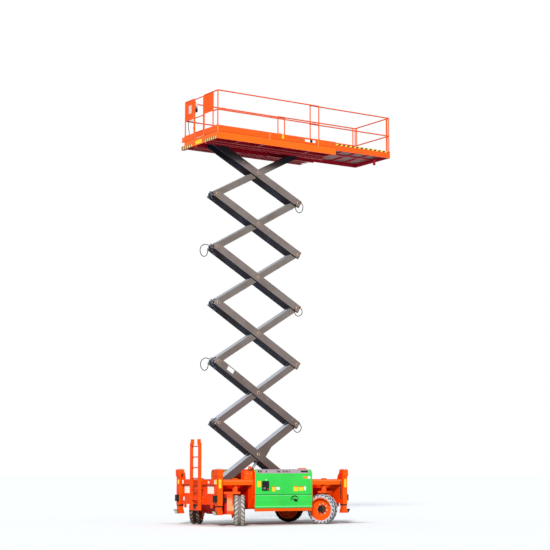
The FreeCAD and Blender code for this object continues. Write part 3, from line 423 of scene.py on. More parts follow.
# On each corner tube: a gusset, given by its reach in from the tube and its height, a block, a hook
# and the end of a hose.
gusset = np.array(((0, 1.244), (0.215, 1.244), (0.220, 1.290), (0.185, 1.365), (0.120, 1.425), (0, 1.440)))
gussets, blocks, hooks, loose_ends = [], [], [], []
for e, s in corners:
    gussets.append(np.stack([at(0, 0, 0) + np.stack(
        (np.full(len(gusset), e * 2.085 + shift), s * (0.9475 - gusset[:, 0]), gusset[:, 1]), 1)
        for shift in (-0.010, 0.010)]))
    blocks.append(slab(at(e * 2.100, s * 0.890, 1.362), (0, e, 0), (0, 0, 1), (0.050, 0.085), 0.012, 0.010))
    hooks.append(slab(at(e * 1.962, s * 1.000, 1.358), (e, 0, 0), (0, 0, 1), (0.056, 0.150), 0.030, 0.010))
    drop = [at(e * 1.974, s * beam_side, z) for z in (1.200, 1.190, 0.960, 0.720, 0.711)]
    loose_ends.append(tube(drop, (0.004, 0.012, 0.012, 0.012, 0.004), 8))
make_piece("tube_gussets", gussets, orange, *chassis)
make_piece("tube_blocks", blocks, black, *chassis_black)
flanges = [on_side(s, e * 1.495, 1.208, (0.980, 0.014), beam_side, 0.004, 0.001) for e, s in corners]
make_piece("beam_flanges", flanges, plain("edge_orange", tint(255, 150, 92), 0.5, mottle=0.1), *chassis)
make_piece("tube_hoses", loose_ends, black, *chassis_black)
make_piece("tube_hooks", hooks, plain("hook_red", tint(206, 40, 30), 0.5, mottle=0.15), *chassis)
catches = [on_end(e, -0.232, 0.672, (0.060, 0.066), end_face, 0.006) for e in ends]
make_piece("end_catches", catches, plain("red_catch", tint(224, 38, 20), 0.5, mottle=0.1), *chassis)

# Black rubber buffers with moulded grooves on the corner tubes, and the bolts of the tubes' caps, in
# the two steels that the other bolts and fittings share.
rubber = plain("buffer_rubber", tint(38, 34, 32), 0.75, mottle=0.22, grain=60.0)
wear(("rubber_bumpers",), rubber)
low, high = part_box("rubber_bumpers")
ribs = [slab(at(e * 2.222, s * 1.010, low.z + 0.017 + step * 0.034), (0, e, 0), (0, 0, 1),
             (0.116, 0.020), 0.006, 0.004, 0.003) for e, s in corners for step in range(5)]
make_piece("buffer_ribs", ribs, rubber, "chassis", "bumper_rubber")

steel = plain("bolt_steel", tint(168, 164, 158), 0.38, metallic=0.85, mottle=0.12, grain=90.0)
dark_steel = plain("dark_steel", tint(64, 60, 58), 0.5, metallic=0.6, mottle=0.2, grain=80.0)
bolt = [(0.016, 0), (0.016, 0.016), (0.012, 0.020), (0.003, 0.020)]
caps = [lathe(bolt, at(e * 2.080 + x, s * 1.025 + y, 1.520), (0, 0, 1), 6) for e, s in corners
        for x, y in ((-0.045, -0.045), (0.045, -0.045), (0.045, 0.045), (-0.045, 0.045))]
make_piece("tube_cap_bolts", caps, steel, *chassis)

# The outrigger legs: square steel bars, orange with a black band where they enter their tubes, on a
# foot whose outer plate, worn pale on its sole, hangs at a slant from its hinge.
band_black = plain("leg_black", tint(20, 18, 18), 0.55, coat=0.1, mottle=0.25)
leg_orange = painted("leg_orange", tint(244, 84, 14), tint(150, 28, 10), dust_and_sheen=0.1)
sole = plain("worn_sole", tint(226, 224, 206), 0.7, metallic=0.1, mottle=0.12, grain=22.0)
plate_thick = 0.012
for name in ("rear_near", "rear_far", "front_near", "front_far"):
    leg, ride = "outrigger_leg_" + name, ("leg_" + name, "leg_steel")
    wear((leg,), leg_orange)
    low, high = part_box(leg)
    e = 1 if "front" in name else -1
    centre = np.array(((low.x + high.x) / 2, (low.y + high.y) / 2, 0.0))
    band = slab(centre + (0, 0, 0.516), (1, 0, 0), (0, 1, 0), (0.150, 0.150), 0.028, 0.006)
    make_piece(leg + "_band", [band], band_black, *ride)
    across, rise = (0, e, 0), np.array((e * 0.55, 0.0, 0.835))
    hinge = centre + (e * 0.0935, 0.0, low.z + 0.012)
    foot = slab(hinge + 0.055 * rise, across, rise, (0.176, 0.128), plate_thick, 0.012)
    make_piece(leg + "_plate", [foot], black, *ride)
    pad = slab(hinge + 0.058 * rise + plate_thick * np.cross(across, rise), across, rise,
               (0.146, 0.096), 0.006, 0.012)
    make_piece(leg + "_sole", [pad], sole, *ride)


# The wheels: tall rough-terrain tyres with two rows of slanted lugs on a dished rim, eight studs and
# a dark hub over the drive motor, on a steered knuckle.
lug_count = 21


def tyre_rubber(name, centre, axis, groove, face, lug_top):
    """Black rubber dusted in three colours, in the grooves, on the side walls and on the lugs, with the
    light and shade painted into each wheel's colours.
    """
    skin = new_shader(name)

    def vector(operation, sockets, out=0):
        return skin.node("VectorMath", {"operation": operation}, sockets, out)

    here = skin.node("TexCoord", out="Object")
    arm = vector("SUBTRACT", {0: here, 1: centre})
    along = vector("SCALE", {0: axis, 3: vector("DOT_PRODUCT", {0: arm, 1: axis}, 1)})
    radius = vector("LENGTH", {0: vector("SUBTRACT", {0: arm, 1: along})}, 1)
    ahead = vector("DOT_PRODUCT", {0: arm, 1: tuple(np.cross(axis, (0, 0, 1.0)))}, 1)
    angle = ahead.math("ARCTAN2", ahead, skin.parts(arm)[2])
    cell = angle.math("FRACT", angle * (lug_count / (2 * np.pi)) + radius * 6.0, 0.0)
    smooth_ring = radius.above(0.352, 0.01) + (1.0 - radius.above(0.326, 0.01))
    notch = cell.above(0.66, 0.16) * smooth_ring.clip()
    grit = skin.noise(here, 26.0, 5.0, 0.7)
    patch = skin.noise(here, 4.5, 3.0)
    lug = radius.above(0.398, 0.012)
    wall = (1.0 - lug) * (1.0 - radius.above(0.388, 0.008)) * (1.0 - notch)
    base = skin.mix(dim(groove, 0.4), groove, grit.above(0.5, 0.4))
    base = skin.mix(base, face, wall * (patch * 0.4 + grit * 0.6 + 0.35).clip())
    base = skin.mix(base, lug_top, lug * (grit * 0.5 + patch * 0.5 + 0.25).clip())
    return skin.finish({"Base Color": base, "Roughness": grit * 0.2 + 0.68,
                        "Normal": skin.relief(0.4, 0.004, grit), "Specular IOR Level": 0.15})


rim_paint = painted("rim_paint", tint(246, 92, 14), tint(170, 34, 8), dust_and_sheen=0.1, chips=0.04)
# The knuckles: a painted highlight on the leg's side that faces the lamp, 0.41 m to 0.72 m up, and a
# painted shadow of the corner tube as a dark red strip on the near side.
knuckle_paint = painted("knuckle_paint", tint(244, 84, 18), tint(150, 14, 4), dust_and_sheen=0.2, dark=0.8, zones=(
    (tint(255, 158, 108),
     lambda place, facing: (0.0 - facing[0] * 0.55 - facing[1] * 0.83).above(0.72, 0.3)
     * place[2].below(0.72, 0.12) * place[2].above(0.41, 0.03)),
    (painted_shade_red,
     lambda place, facing: (place[1] * 0.557 - place[0] * 0.83).above(0.945, 0.01)
     * place[1].below(-0.0, 0.1) * place[2].below(0.855, 0.01))))
hub_black = plain("hub_black", tint(30, 27, 26), 0.45, coat=0.2, mottle=0.2)
wheels = (
    # name, colour in the grooves, on the side walls and on the lugs: dusted rubber, with painted light
    # on the near wheels and painted shade on the far ones, near black at the front
    ("rear_near", tint(150, 141, 136), tint(98, 92, 90), tint(214, 206, 198)),
    ("rear_far", tint(66, 52, 46), tint(40, 34, 32), tint(156, 132, 118)),
    ("front_near", tint(66, 66, 72), tint(206, 208, 214), tint(214, 216, 220)),
    ("front_far", tint(14, 10, 10), tint(10, 8, 8), tint(18, 15, 15)),
)
rim_disc = 0.0122       # how far the rim's disc stands out from the wheel's centre
stud_count, stud_circle = 8, 0.140
hub_profile = [(0.112, 0.0), (0.112, 0.012), (0.103, 0.018), (0.103, 0.086), (0.094, 0.0972),
               (0.05, 0.0985), (0.046, 0.106), (0.010, 0.108)]
stud_profile = [(0.024, 0), (0.024, 0.004), (0.015, 0.005), (0.015, 0.024), (0.010, 0.034), (0.002, 0.035)]
hose_bends = (
    # reach out along the axle, shift along the wheel, height over the ground
    (-0.235, 0.110, 0.690), (-0.325, 0.190, 0.740), (-0.355, 0.215, 0.715), (-0.325, 0.200, 0.665),
    (-0.240, 0.120, 0.640))
for name, groove, face, lug_top in wheels:
    spin = joints["spin_" + name]
    hub, axis = np.array(spin["pos_m"]), np.array(spin["axis"], float)
    tyre_dust_light_and_shade = tyre_rubber("rubber_" + name, tuple(hub), tuple(axis), groove, face, lug_top)
    wear(("tyre_" + name,), tyre_dust_light_and_shade)
    wear(("rim_" + name,), rim_paint)
    wear(("knuckle_" + name,), knuckle_paint)
    cover = lathe(hub_profile, hub + rim_disc * axis, axis, 32)
    make_piece("hub_" + name, [cover], hub_black, "wheel_" + name, "leg_steel")
    side, upright = np.cross(axis, (0, 0, 1.0)), np.array((0, 0, 1.0))
    studs = []
    for turn in np.arange(stud_count) * 2 * np.pi / stud_count + 0.2:
        out = stud_circle * (np.cos(turn) * side + np.sin(turn) * upright)
        studs.append(lathe(stud_profile, hub + out + rim_disc * axis, axis, 8))
    pivot = np.array(joints["steer_" + name]["pos_m"])
    bends = [pivot + reach * axis + shift * side + (0, 0, rise - pivot[2])
             for reach, shift, rise in hose_bends]
    pair = [tube(bends, 0.020, 8), tube([p + (0, 0, 0.045) for p in bends[:4]], 0.016, 8)]
    make_piece("motor_hoses_" + name, pair, hub_black, "knuckle_" + name, "box_black")
    stud_steel = plain("stud_" + name, tint(214, 206, 196), 0.4, metallic=0.3, mottle=0.1)
    make_piece("studs_" + name, studs, stud_steel, "wheel_" + name, "rim_orange")

# The side pods: folded steel hoods over the engine and the valves, on an orange tray. Each hood has a
# seam painted as a shadow line, lips with a painted highlight, a hem painted in shade, a bent skirt,
# a paddle latch in a scooped recess whose shadow is painted black along its upper edge, blank labels
# and vent slots on a shoulder strip painted pale as a highlight.
hood_middle, hood_long, hood_face = -0.0455, 1.896, 1.150
# The middle of the hood's rounded edge across and up, and its radius.
bend_out, bend_high, bend_radius = 1.030, 1.405, 0.120
green = painted("green_paint", tint(60, 214, 84), tint(30, 130, 44), gloss=0.30, dust_and_sheen=0.1, dark=0.6, zones=(
    (tint(246, 60, 4), lambda place, facing: facing[0].size().above(0.7, 0.1)
     * (place[0] - hood_middle).size().above(0.919, 0.004)),))
wear(("hood_near", "hood_far"), green)
seam_green = plain("seam_green", tint(16, 110, 40), 0.6, mottle=0.1)
hem_green = plain("hem_green", tint(40, 172, 70), 0.5, mottle=0.08)
pale_green = plain("pale_green", tint(120, 236, 138), 0.4, coat=0.3, mottle=0.05)
red = plain("red_button", tint(226, 52, 32), 0.35, coat=0.4, mottle=0.05)
shoulder_highlight = plain("vent_strip", tint(176, 158, 165), 0.5, mottle=0.08, grain=14.0)


def shoulder(side, start, end, angles, proud):
    """A sheet that lies on a hood's rounded top edge, from one angle of its bend to another."""
    bend = np.radians(np.linspace(angles[0], angles[1], 10))
    outer, inner = (np.stack((0 * bend, side * (bend_out + radius * np.cos(bend)),
                              bend_high + radius * np.sin(bend)), 1)
                    for radius in (bend_radius + proud, bend_radius + proud - 0.0025))
    section = np.concatenate((outer, inner[::-1]))
    return np.stack([section + at(x, 0, 0) for x in np.linspace(start, end, 4)])


def hood_strip(side, z, high, sunk, thick, corner):
    """A strip along a whole hood, sunk behind its face."""
    return on_side(side, hood_middle, z, (hood_long, high), hood_face - sunk, thick, corner)


# Along the hood, height and size of the labels, and along the shoulder and width of its slots.
yellow_labels = ((-0.868, 1.125, (0.121, 0.164)), (-0.388, 0.993, (0.101, 0.142)),
                 (0.345, 0.995, (0.150, 0.142)), (0.525, 0.998, (0.160, 0.120)))
white_labels = ((-0.245, 1.004, (0.120, 0.072)), (0.660, 1.000, (0.062, 0.110)),
                (0.800, 1.300, (0.085, 0.066)), (-0.640, 1.236, (0.040, 0.026)))
amber_labels = ((0.665, 1.300, (0.147, 0.066)),)
label_bands = ((-0.388, 1.055, 0.101), (0.345, 1.057, 0.150), (0.525, 1.049, 0.160))
vent_slots = ((-0.873, 0.044), (-0.800, 0.050), (-0.620, 0.036), (-0.241, 0.044), (-0.181, 0.036),
              (-0.062, 0.024), (-0.020, 0.024), (0.060, 0.044), (0.150, 0.024), (0.650, 0.236))
brackets = ((1.536, (0.243, 0.050), 0.024), (1.526, (0.300, 0.070), 0.006))
key = [(0.011, 0), (0.011, 0.012), (0.007, 0.014), (0.001, 0.014)]
stop = [(0.012, 0), (0.012, 0.010), (0.021, 0.014), (0.021, 0.024), (0.014, 0.030), (0.002, 0.031)]
label_thick = 0.0015
for side, name in ((-1, "near"), (1, "far")):
    body, slot = "hood_" + name, "hood_green"
    face, panel_face = hood_face, hood_face + 0.025
    # The seam is a shadow line painted under the upper panel's edge; the lips carry a painted highlight,
    # under the seam and above the skirt, and the hem under the lower lip is painted in shade.
    make_piece("hood_seam_" + name, [hood_strip(side, 0.836, 0.020, 0.0, 0.0012, 0.001)],
               seam_green, body, slot)
    lips = [hood_strip(side, 0.815, 0.016, 0.0, 0.0030, 0.002),
            hood_strip(side, 0.509, 0.026, 0.0245, 0.0275, 0.004)]
    make_piece("hood_lip_" + name, lips, pale_green, body, slot)
    make_piece("hood_hem_" + name, [hood_strip(side, 0.481, 0.030, 0.0245, 0.0265, 0.004)],
               hem_green, body, slot)
    sill = on_side(side, -0.0475, 0.424, (1.900, 0.078), face - 0.028, 0.012, 0.004)
    make_piece("pod_sill_" + name, [sill], orange, *chassis)
    for kind, places, colour in (("labels_yellow", yellow_labels, yellow),
                                 ("labels_white", white_labels, white),
                                 ("label_amber", amber_labels, amber)):
        labels = [on_side(side, x, z, size, face, label_thick) for x, z, size in places]
        make_piece("hood_%s_%s" % (kind, name), labels, colour, body, slot)
    bands = [on_side(side, x, z, (width, 0.018), face + label_thick, 0.001) for x, z, width in label_bands]
    make_piece("hood_label_bands_" + name, bands, red, body, slot)
    plates = [slab(at(0.735, side * 0.900, z), (1, 0, 0), (0, 1, 0), size, thick, 0.006)
              for z, size, thick in brackets]
    make_piece("hood_bracket_" + name, plates, orange, body, slot)
    panel = [on_side(side, -0.663, 1.077, (0.220, 0.260), face, 0.022, 0.014),
             on_side(side, -0.663, 1.077, (0.190, 0.230), face + 0.022, 0.003, 0.010)]
    panel += [lathe(key, at(-0.720 + 0.045 * step, side * panel_face, 1.10 + 0.038 * row), (0, side, 0), 10)
              for row in range(3) for step in range(3)]
    make_piece("hood_panel_" + name, panel, black, body, "box_black")
    glass = plain("panel_screen_" + name, tint(120, 126, 118), 0.25, coat=0.5, mottle=0.05)
    screen = on_side(side, -0.705, 1.010, (0.070, 0.050), panel_face, 0.002)
    make_piece("hood_panel_screen_" + name, [screen], glass, body, "box_black")
    button = lathe(stop, at(-0.608, side * panel_face, 0.985), (0, side, 0), 16)
    make_piece("hood_stop_" + name, [button], red, body, "box_black")
    # The black crescent along the recess's upper edge is the recess's shadow, painted; the paddle and its
    # bar sit under it.
    turn = np.linspace(np.pi * 1.04, 0.06, 22)
    arc = [at(0.312 + 0.122 * np.cos(t), side * (face + 0.001), 0.690 + 0.105 * np.sin(t)) for t in turn]
    latch = [tube(arc, 0.003 + 0.013 * np.sin(np.linspace(0.25, np.pi, len(turn))) ** 0.7),
             on_side(side, 0.345, 0.672, (0.105, 0.052), face + 0.002, 0.020, 0.016),
             on_side(side, 0.300, 0.706, (0.145, 0.024), face + 0.001, 0.010, 0.010)]
    make_piece("hood_latch_" + name, latch, black, body, "box_black")
    # The pale strip over the rounded top edge is a painted highlight; black slots lie on it.
    make_piece("hood_vents_" + name, [shoulder(side, -0.93, 0.80, (4, 86), 0.0015)], shoulder_highlight, body, slot)
    slots = [shoulder(side, x - wide / 2, x + wide / 2, (17, 44), 0.0030) for x, wide in vent_slots]
    make_piece("hood_slots_" + name, slots, black, body, slot)

bolt = [(0.016, 0), (0.016, 0.008), (0.010, 0.012), (0.002, 0.012)]
bolts = [lathe(bolt, at(x, -beam_side, z), (0, -1, 0), 6)
         for x, z in ((-1.165, 1.400), (-1.040, 1.405), (-1.235, 1.300))]
make_piece("saddle_bolts", bolts, steel, *chassis)
engine_paint = plain("engine_paint", tint(70, 70, 72), 0.6, metallic=0.3, mottle=0.25, grain=12.0, bump=0.4)
wear(("engine_block",), engine_paint)
lens = plain("beacon_lens", tint(232, 76, 14), 0.25, coat=0.3, mottle=0.08)
wear(("beacon",), lens)
low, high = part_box("beacon")
base = lathe([(0.066, -0.002), (0.066, 0.020), (0.0635, 0.034), (0.060, 0.034)],
             ((low.x + high.x) / 2, (low.y + high.y) / 2, low.z), (0, 0, 1), 28)
make_piece("beacon_base", [base], black, *chassis_black)

# The ladder: two channel stringers with welded rungs, orange, its paint worn pale on the treads.
ladder_paint = painted("ladder_paint", tint(248, 90, 8), tint(170, 30, 8), dust_and_sheen=0.15, chips=0.03,
                       zones=(rear_shade,))
wear(("ladder",), ladder_paint)
ladder_y = -0.038
strut_bends = ((-2.215, 0.150, 0.0), (-2.120, 0.120, -0.045), (-2.035, 0.100, -0.075))
struts = [tube([at(x, ladder_y + s * wide, z + drop) for x, wide, drop in strut_bends], 0.014, 8)
          for s in sides for z in (1.020, 0.700)]
make_piece("ladder_struts", struts, plain("strut_red", tint(206, 26, 12), 0.5, mottle=0.1), *chassis)
socket = slab(at(-2.255, -0.058, 0.500), (0, -1, 0), (0, 0, 1), (0.124, 0.088), 0.006, 0.006)
make_piece("ladder_socket", [socket], black, *chassis_black)


# The scissor arms: rectangular steel tubes in grey-brown paint, with a pale blue sky reflection
# painted on their tops among a dusting, and painted near-black shade below. Brass-coloured pins end in
# each joint, their holes painted dark as shade.
def arm_paint(name, low_colour, high_colour):
    """Satin grey-brown paint that pales with height, with a painted sky reflection among dusting on top,
    painted near-black shade below, painted shade on the faces that look into the pack and a painted
    shadow of the platform near the deck."""
    coat = new_shader(name)
    here = coat.place()
    _, off, height = coat.parts(here)
    _, outward, up = coat.facing()
    patch = coat.noise(here, 2.2, 4.0)
    speck = coat.noise(here, 30.0, 5.0, 0.7)
    paint = coat.mix(low_colour, high_colour, height.above(3.6, 4.0))
    paint = coat.mix(paint, tint(86, 66, 58), patch.above(0.56, 0.3) * 0.35)
    # Painted reflection of the pale blue sky on the faces that look up, patchy like dusting, weaker high
    # up.
    dust_and_sheen = up.above(0.55, 0.4) * (patch * 0.5 + 0.45).clip() * (1.0 - height.above(6.0, 6.0) * 0.6)
    paint = coat.mix(paint, tint(206, 214, 226), dust_and_sheen)
    # Painted shade on the faces that look into the pack.
    inner = coat.mix(tint(94, 100, 116), tint(82, 74, 78), patch.above(0.5, 0.3))
    paint = coat.mix(paint, inner, (0.0 - outward * off).above(0.05, 0.04))
    # Painted shade, near black, on the faces that look down; then the platform's shadow painted near the
    # deck.
    paint = coat.mix(paint, tint(20, 20, 26), up.below(-0.3, 0.3))
    paint = coat.mix(paint, tint(34, 36, 46), height.above(left_end[top_stage][2] - 0.42, 0.36) * 0.94)
    return coat.finish({
        "Base Color": paint, "Roughness": patch * 0.2 + speck * 0.1 + 0.3,
        "Normal": coat.relief(0.12, 0.002, speck), "Specular IOR Level": 0.03})


def pin_place(joint):
    """Where a joint's pin is."""
    return np.array(joints[joint]["pos_m"])


top_stage = 6
stages = range(1, top_stage + 1)
middle_x = pin_place("stage_1_centre_pin")[0]
# The ends of the arms by the height at which stage k ends and stage k + 1 begins.
left_end = {k: pin_place("stage_%d_end_pin" % (k + 1)) for k in range(1, top_stage)}
left_end[top_stage] = pin_place("platform_level_pin")
left_end[0] = pin_place("lift")
right_end = {k: np.array((2 * middle_x - p[0], 0.0, p[2])) for k, p in left_end.items()}
for kind, pale_colour in (("inner", tint(126, 118, 113)), ("outer", tint(130, 120, 116))):
    finish = arm_paint("arm_paint_" + kind, tint(106, 90, 88), pale_colour)
    wear(["%s_arm_%d" % (kind, k) for k in stages], finish)
brass = plain("pin_brass", tint(206, 166, 138), 0.4, metallic=0.25, mottle=0.15, grain=60.0)
# The pins' holes are dark discs: shade painted in the recesses.
recess = plain("pin_recess", tint(46, 26, 20), 0.6, mottle=0.2)
pack_face = 0.202       # the outer arms' outer faces, off the machine's middle
ring = [(0.047, 0), (0.047, 0.008), (0.041, 0.013), (0.027, 0.013), (0.025, 0.006)]
hole = [(0.024, 0), (0.024, 0.0075), (0.002, 0.0075)]
bolt = [(0.017, 0), (0.017, 0.007), (0.010, 0.011), (0.002, 0.011)]


def on_arm(profile, places, steps):
    """A round fitting on both outer faces of the pack at each of these places."""
    return [lathe(profile, place + (0, side * pack_face, 0), (0, side, 0), steps)
            for place in places for side in sides]


for k in stages:
    body = "outer_arm_%d" % k
    start, end = left_end[k], right_end[k - 1]
    pins = [pin_place("stage_%d_centre_pin" % k)]
    pins += [start] if k < top_stage else []
    pins += [end] if k > 1 else []
    make_piece("pin_rings_%d" % k, on_arm(ring, pins, 20), brass, body, "arm_grey")
    make_piece("pin_recesses_%d" % k, on_arm(hole, pins, 16), recess, body, "arm_grey")
    along = (end - start) / np.linalg.norm(end - start)
    above = np.array((-along[2], 0.0, along[0]))
    # The lowest arms fold down into the base, so they have only the bolts that stay over it.
    rows = (0.968, 1.921, 2.928) if k > 1 else (0.968,)
    bolts = on_arm(bolt, [start + reach * along + 0.03 * above for reach in rows], 8)
    make_piece("arm_bolts_%d" % k, bolts, steel, body, "arm_grey")
    if k == 2:
        place = start + 0.452 * along + 0.022 * above + (0, -pack_face, 0)
        make_piece("arm_label", [slab(place, along, above, (0.235, 0.116), 0.002, 0.006)],
                   white, body, "arm_grey")

# The lift cylinder: a welded barrel in the base and a hard-chromed rod up to the first arms' gusset.
barrel_paint = painted("barrel_paint", tint(120, 44, 30), tint(50, 20, 16), dust_and_sheen=0.1)
chrome = plain("chrome_rod", tint(214, 216, 218), 0.16, metallic=1.0, mottle=0.03, grain=140.0, bump=0.05)
wear(("cylinder_barrel",), barrel_paint)
wear(("cylinder_rod",), chrome)


# The hoses that loop from arm to arm at the pack's ends, and the cable of the platform's controls:
# black rubber.
hose_rubber = plain("hose_rubber", tint(14, 12, 18), 0.7, mottle=0.2, grain=70.0)
# The loops' points from the arm's end pin, out along X and up, in millimetres.
right_loop = ((70, 25), (135, -25), (150, -120), (95, -205), (0, -240), (-90, -200), (-130, -115),
              (-120, -30))
left_loop = ((40, 85), (130, 115), (235, 95), (320, 20), (340, -85), (310, -185), (225, -250),
             (125, -215), (85, -120), (80, -30))
hose_thick = 0.022
hoses = (
    # name, outer arm that it rides on, end of that arm along X, stretch of its drop, length
    ("hose_1", 2, 1, 1.0, 0.638),
    ("hose_2", 2, -1, 1.0, 0.906),
    ("hose_3", 4, 1, 1.0, 0.638),
    ("hose_4", 4, -1, 1.0, 0.906),
    ("hose_5", 6, 1, 1.22, 0.719),
)


def cord_curve(name, route, diameter, material, body):
    """A cord as a curve: its route's points pull one smooth line of even thickness."""
    curve = bpy.data.curves.new(name, "CURVE")
    curve.dimensions = "3D"
    curve.bevel_depth = diameter / 2
    curve.bevel_resolution = 4
    curve.resolution_u = 8
    line = curve.splines.new("NURBS")
    line.points.add(len(route) - 1)
    line.points.foreach_set("co", np.concatenate((route, np.ones((len(route), 1))), 1).ravel())
    line.order_u = 3
    line.use_endpoint_u = True
    curve.use_fill_caps = True
    curve.materials.append(material)
    cord = bpy.data.objects.new(name, curve)
    bpy.context.scene.collection.objects.link(cord)
    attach(cord, body)
    return cord


for name, arm, end, stretch, length in hoses:
    pin = right_end[arm - 1] if end > 0 else left_end[arm]
    loop = np.array(right_loop if end > 0 else left_loop) / 1000.0
    loop[:, 1] *= np.where(loop[:, 1] < 0, stretch, 1.0)
    across = np.full(len(loop), -end * (pack_face + hose_thick))
    route = np.stack((pin[0] + end * loop[:, 0], across, pin[2] + loop[:, 1]), 1)
    cord = cord_curve(name + "_skin", route, hose_thick, hose_rubber, "outer_arm_%d" % arm)
    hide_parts(name)

# The platform: a folded steel deck with channels along its sides, painted orange outside, with dark
# red shade painted underneath and on its inner faces, and with toe boards, blank plates and yellow and
# black warning stripes at its rear.
deck = ("platform", "platform_orange")
deck_black = ("platform", "box_black")
deck_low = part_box("deck_floor")[0].z - 0.206        # the underside of the deck's channels
deck_rear, deck_side = -2.104, 0.906                # its rear and side faces
seam_rise, tread_rise = 0.207, 0.212                # its seam and its tread plate over the underside
fitting_side, rail_side = 0.908, 0.888              # faces that fittings stand on, and the rails
# Painted shade: dark red on the faces that look down or inward, and under the deck.
under_shade_red = tint(186, 26, 50)
platform_paint = painted("platform_paint", tint(253, 112, 26), under_shade_red, dust_and_sheen=0.1, dark=1.0, zones=(
    (under_shade_red, lambda place, facing: place[1].size().below(0.893, 0.004)
     * place[0].above(-2.098, 0.004) * facing[2].below(0.5, 0.1)),
    (under_shade_red, lambda place, facing: (0.0 - facing[1] * place[1]).above(0.5, 0.2))))
rail_paint = painted("rail_paint", tint(255, 94, 32), tint(240, 62, 24), dust_and_sheen=0.04, dark=0.4,
                     chips=0.03, shine=0.05)
toe_paint = painted("toe_paint", tint(252, 98, 28), tint(200, 40, 14), dust_and_sheen=0.1, shine=0.08)
wear(("deck_frame",), platform_paint)
wear(("rear_rails", "entry_gate", "side_rails"), rail_paint)
wear(("toe_boards",), toe_paint)
plate = new_shader("deck_tread")
here = plate.place()
x_part, y_part = plate.parts(here)[:2]
tread_pitch = 105.0     # radians for each metre across the tread's diagonals
weave = ((x_part + y_part) * tread_pitch).sine() * ((x_part - y_part) * tread_pitch).sine()
lozenge = weave.above(0.45, 0.35)
worn = plate.noise(here, 2.4, 4.0)
top_paint = plate.mix(tint(150, 146, 140), tint(94, 88, 82), worn.above(0.5, 0.4) * 0.7)
# Painted shade under the tread plate.
under = (0.0 - plate.facing()[2]).above(0.5, 0.5)
tread = plate.finish({
    "Base Color": plate.mix(top_paint, under_shade_red, under), "Roughness": worn * 0.2 + 0.4,
    "Metallic": (1.0 - under) * 0.5, "Normal": plate.relief(0.5, 0.003, lozenge)})
wear(("deck_floor",), tread)


def striped(name, axis, pitch, slant):
    """Slanted yellow and black stripes, their pitch in metres along X (0) or Y (1)."""
    tape = new_shader(name)
    here = tape.place()
    parts = tape.parts(here)
    turns = (parts[axis] + parts[2] * slant) * (1 / pitch)
    stripe = turns.math("FRACT", turns, 0.0).above(0.5, 0.06)
    scuff = tape.noise(here, 26.0, 4.0, 0.6)
    colour = tape.mix(tint(252, 214, 62), tint(44, 38, 44), stripe)
    return tape.finish({
        "Base Color": tape.mix(colour, tint(190, 150, 90), scuff.above(0.62, 0.2) * 0.3),
        "Roughness": scuff * 0.2 + 0.4, "Coat Weight": 0.2})


def on_deck_end(y, rise, size, thick, corner=0.006, x=deck_rear):
    """A plate on the platform's rear face, a rise above the deck's underside."""
    return slab(at(x, y, deck_low + rise), (0, -1, 0), (0, 0, 1), size, thick, corner)


def on_deck_side(side, x, rise, size, thick, corner=0.006, y=deck_side):
    """A plate on the platform's near (-1) or far (1) face, a rise above the deck's underside."""
    return slab(at(x, side * y, deck_low + rise), (-side, 0, 0), (0, 0, 1), size, thick, corner)


conduits = [tube([at(x, y, deck_low + 0.006) for x in np.linspace(-1.98, 1.98, 4)], 0.007, 8)
            for y in (-0.270, 0.520, 0.800)]
make_piece("deck_conduits", conduits, plain("conduit_pale", tint(214, 128, 130), 0.6, mottle=0.1), *deck)
corner_ends = [on_deck_end(1.003, 0.055, (0.194, 0.108), 0.100, 0.006, x=-2.002),
               on_deck_end(0.978, 0.285, (0.144, 0.150), 0.020, 0.006, x=-2.082)]
make_piece("deck_corner_ends", corner_ends, platform_paint, *deck)
strips = [on_deck_end(0.790, 0.044, (0.600, 0.078), 0.0018, 0.002),
          on_deck_end(-0.520, 0.048, (0.640, 0.078), 0.0018, 0.002)]
make_piece("rear_stripes", strips, striped("stripes_rear", 1, 0.110, 0.5), *deck)
make_piece("deck_label", [on_deck_end(0.110, 0.080, (0.345, 0.110), 0.002, 0.008)], yellow, *deck)
placard = plain("pale_placard", tint(222, 214, 206), 0.5, coat=0.2, mottle=0.1)
make_piece("deck_tags", [on_deck_end(0.62, 1.115, (0.150, 0.235), 0.002, 0.01, x=-2.089)], placard, *deck)
seams = [on_deck_side(s, -0.073, seam_rise, (4.058, 0.012), 0.0010, 0.001) for s in sides]
seams += [on_deck_end(y, seam_rise, (wide, 0.012), 0.0010, 0.001)
          for y, wide in ((-0.530, 0.740), (0.650, 0.500))]
make_piece("deck_seams", seams, plain("shadow_seam", tint(196, 34, 20), 0.6, mottle=0.1), *deck)
ribs = [on_deck_side(s, x, 0.260, (0.020, 0.215), 0.009, 0.003) for s in sides for x in (-0.360, 1.330)]
ribs += [on_deck_side(s, -2.088, 0.290, (0.026, 0.185), 0.003, 0.003) for s in sides]
make_piece("deck_ribs", ribs, plain("pale_edge", tint(240, 160, 92), 0.45, coat=0.3, mottle=0.08), *deck)
side_tags = [on_deck_side(s, 0.094, 0.308, (0.070, 0.112), 0.003, 0.012) for s in sides]
make_piece("deck_side_tags", side_tags, yellow, *deck)
side_plates = [on_deck_side(s, 1.045, 0.298, (0.370, 0.074), 0.002, 0.01) for s in sides]
make_piece("deck_side_plates", side_plates, white, *deck)
ring = [(0.046, 0), (0.046, 0.006), (0.038, 0.010), (0.024, 0.010), (0.022, 0.004), (0.003, 0.004)]
rings = [lathe(ring, at(1.078, s * fitting_side, deck_low + 0.298), (0, s, 0), 24) for s in sides]
make_piece("plate_rings", rings, dark_steel, *deck)
bolt = [(0.013, 0), (0.013, 0.020), (0.009, 0.026), (0.002, 0.026)]
brackets = []
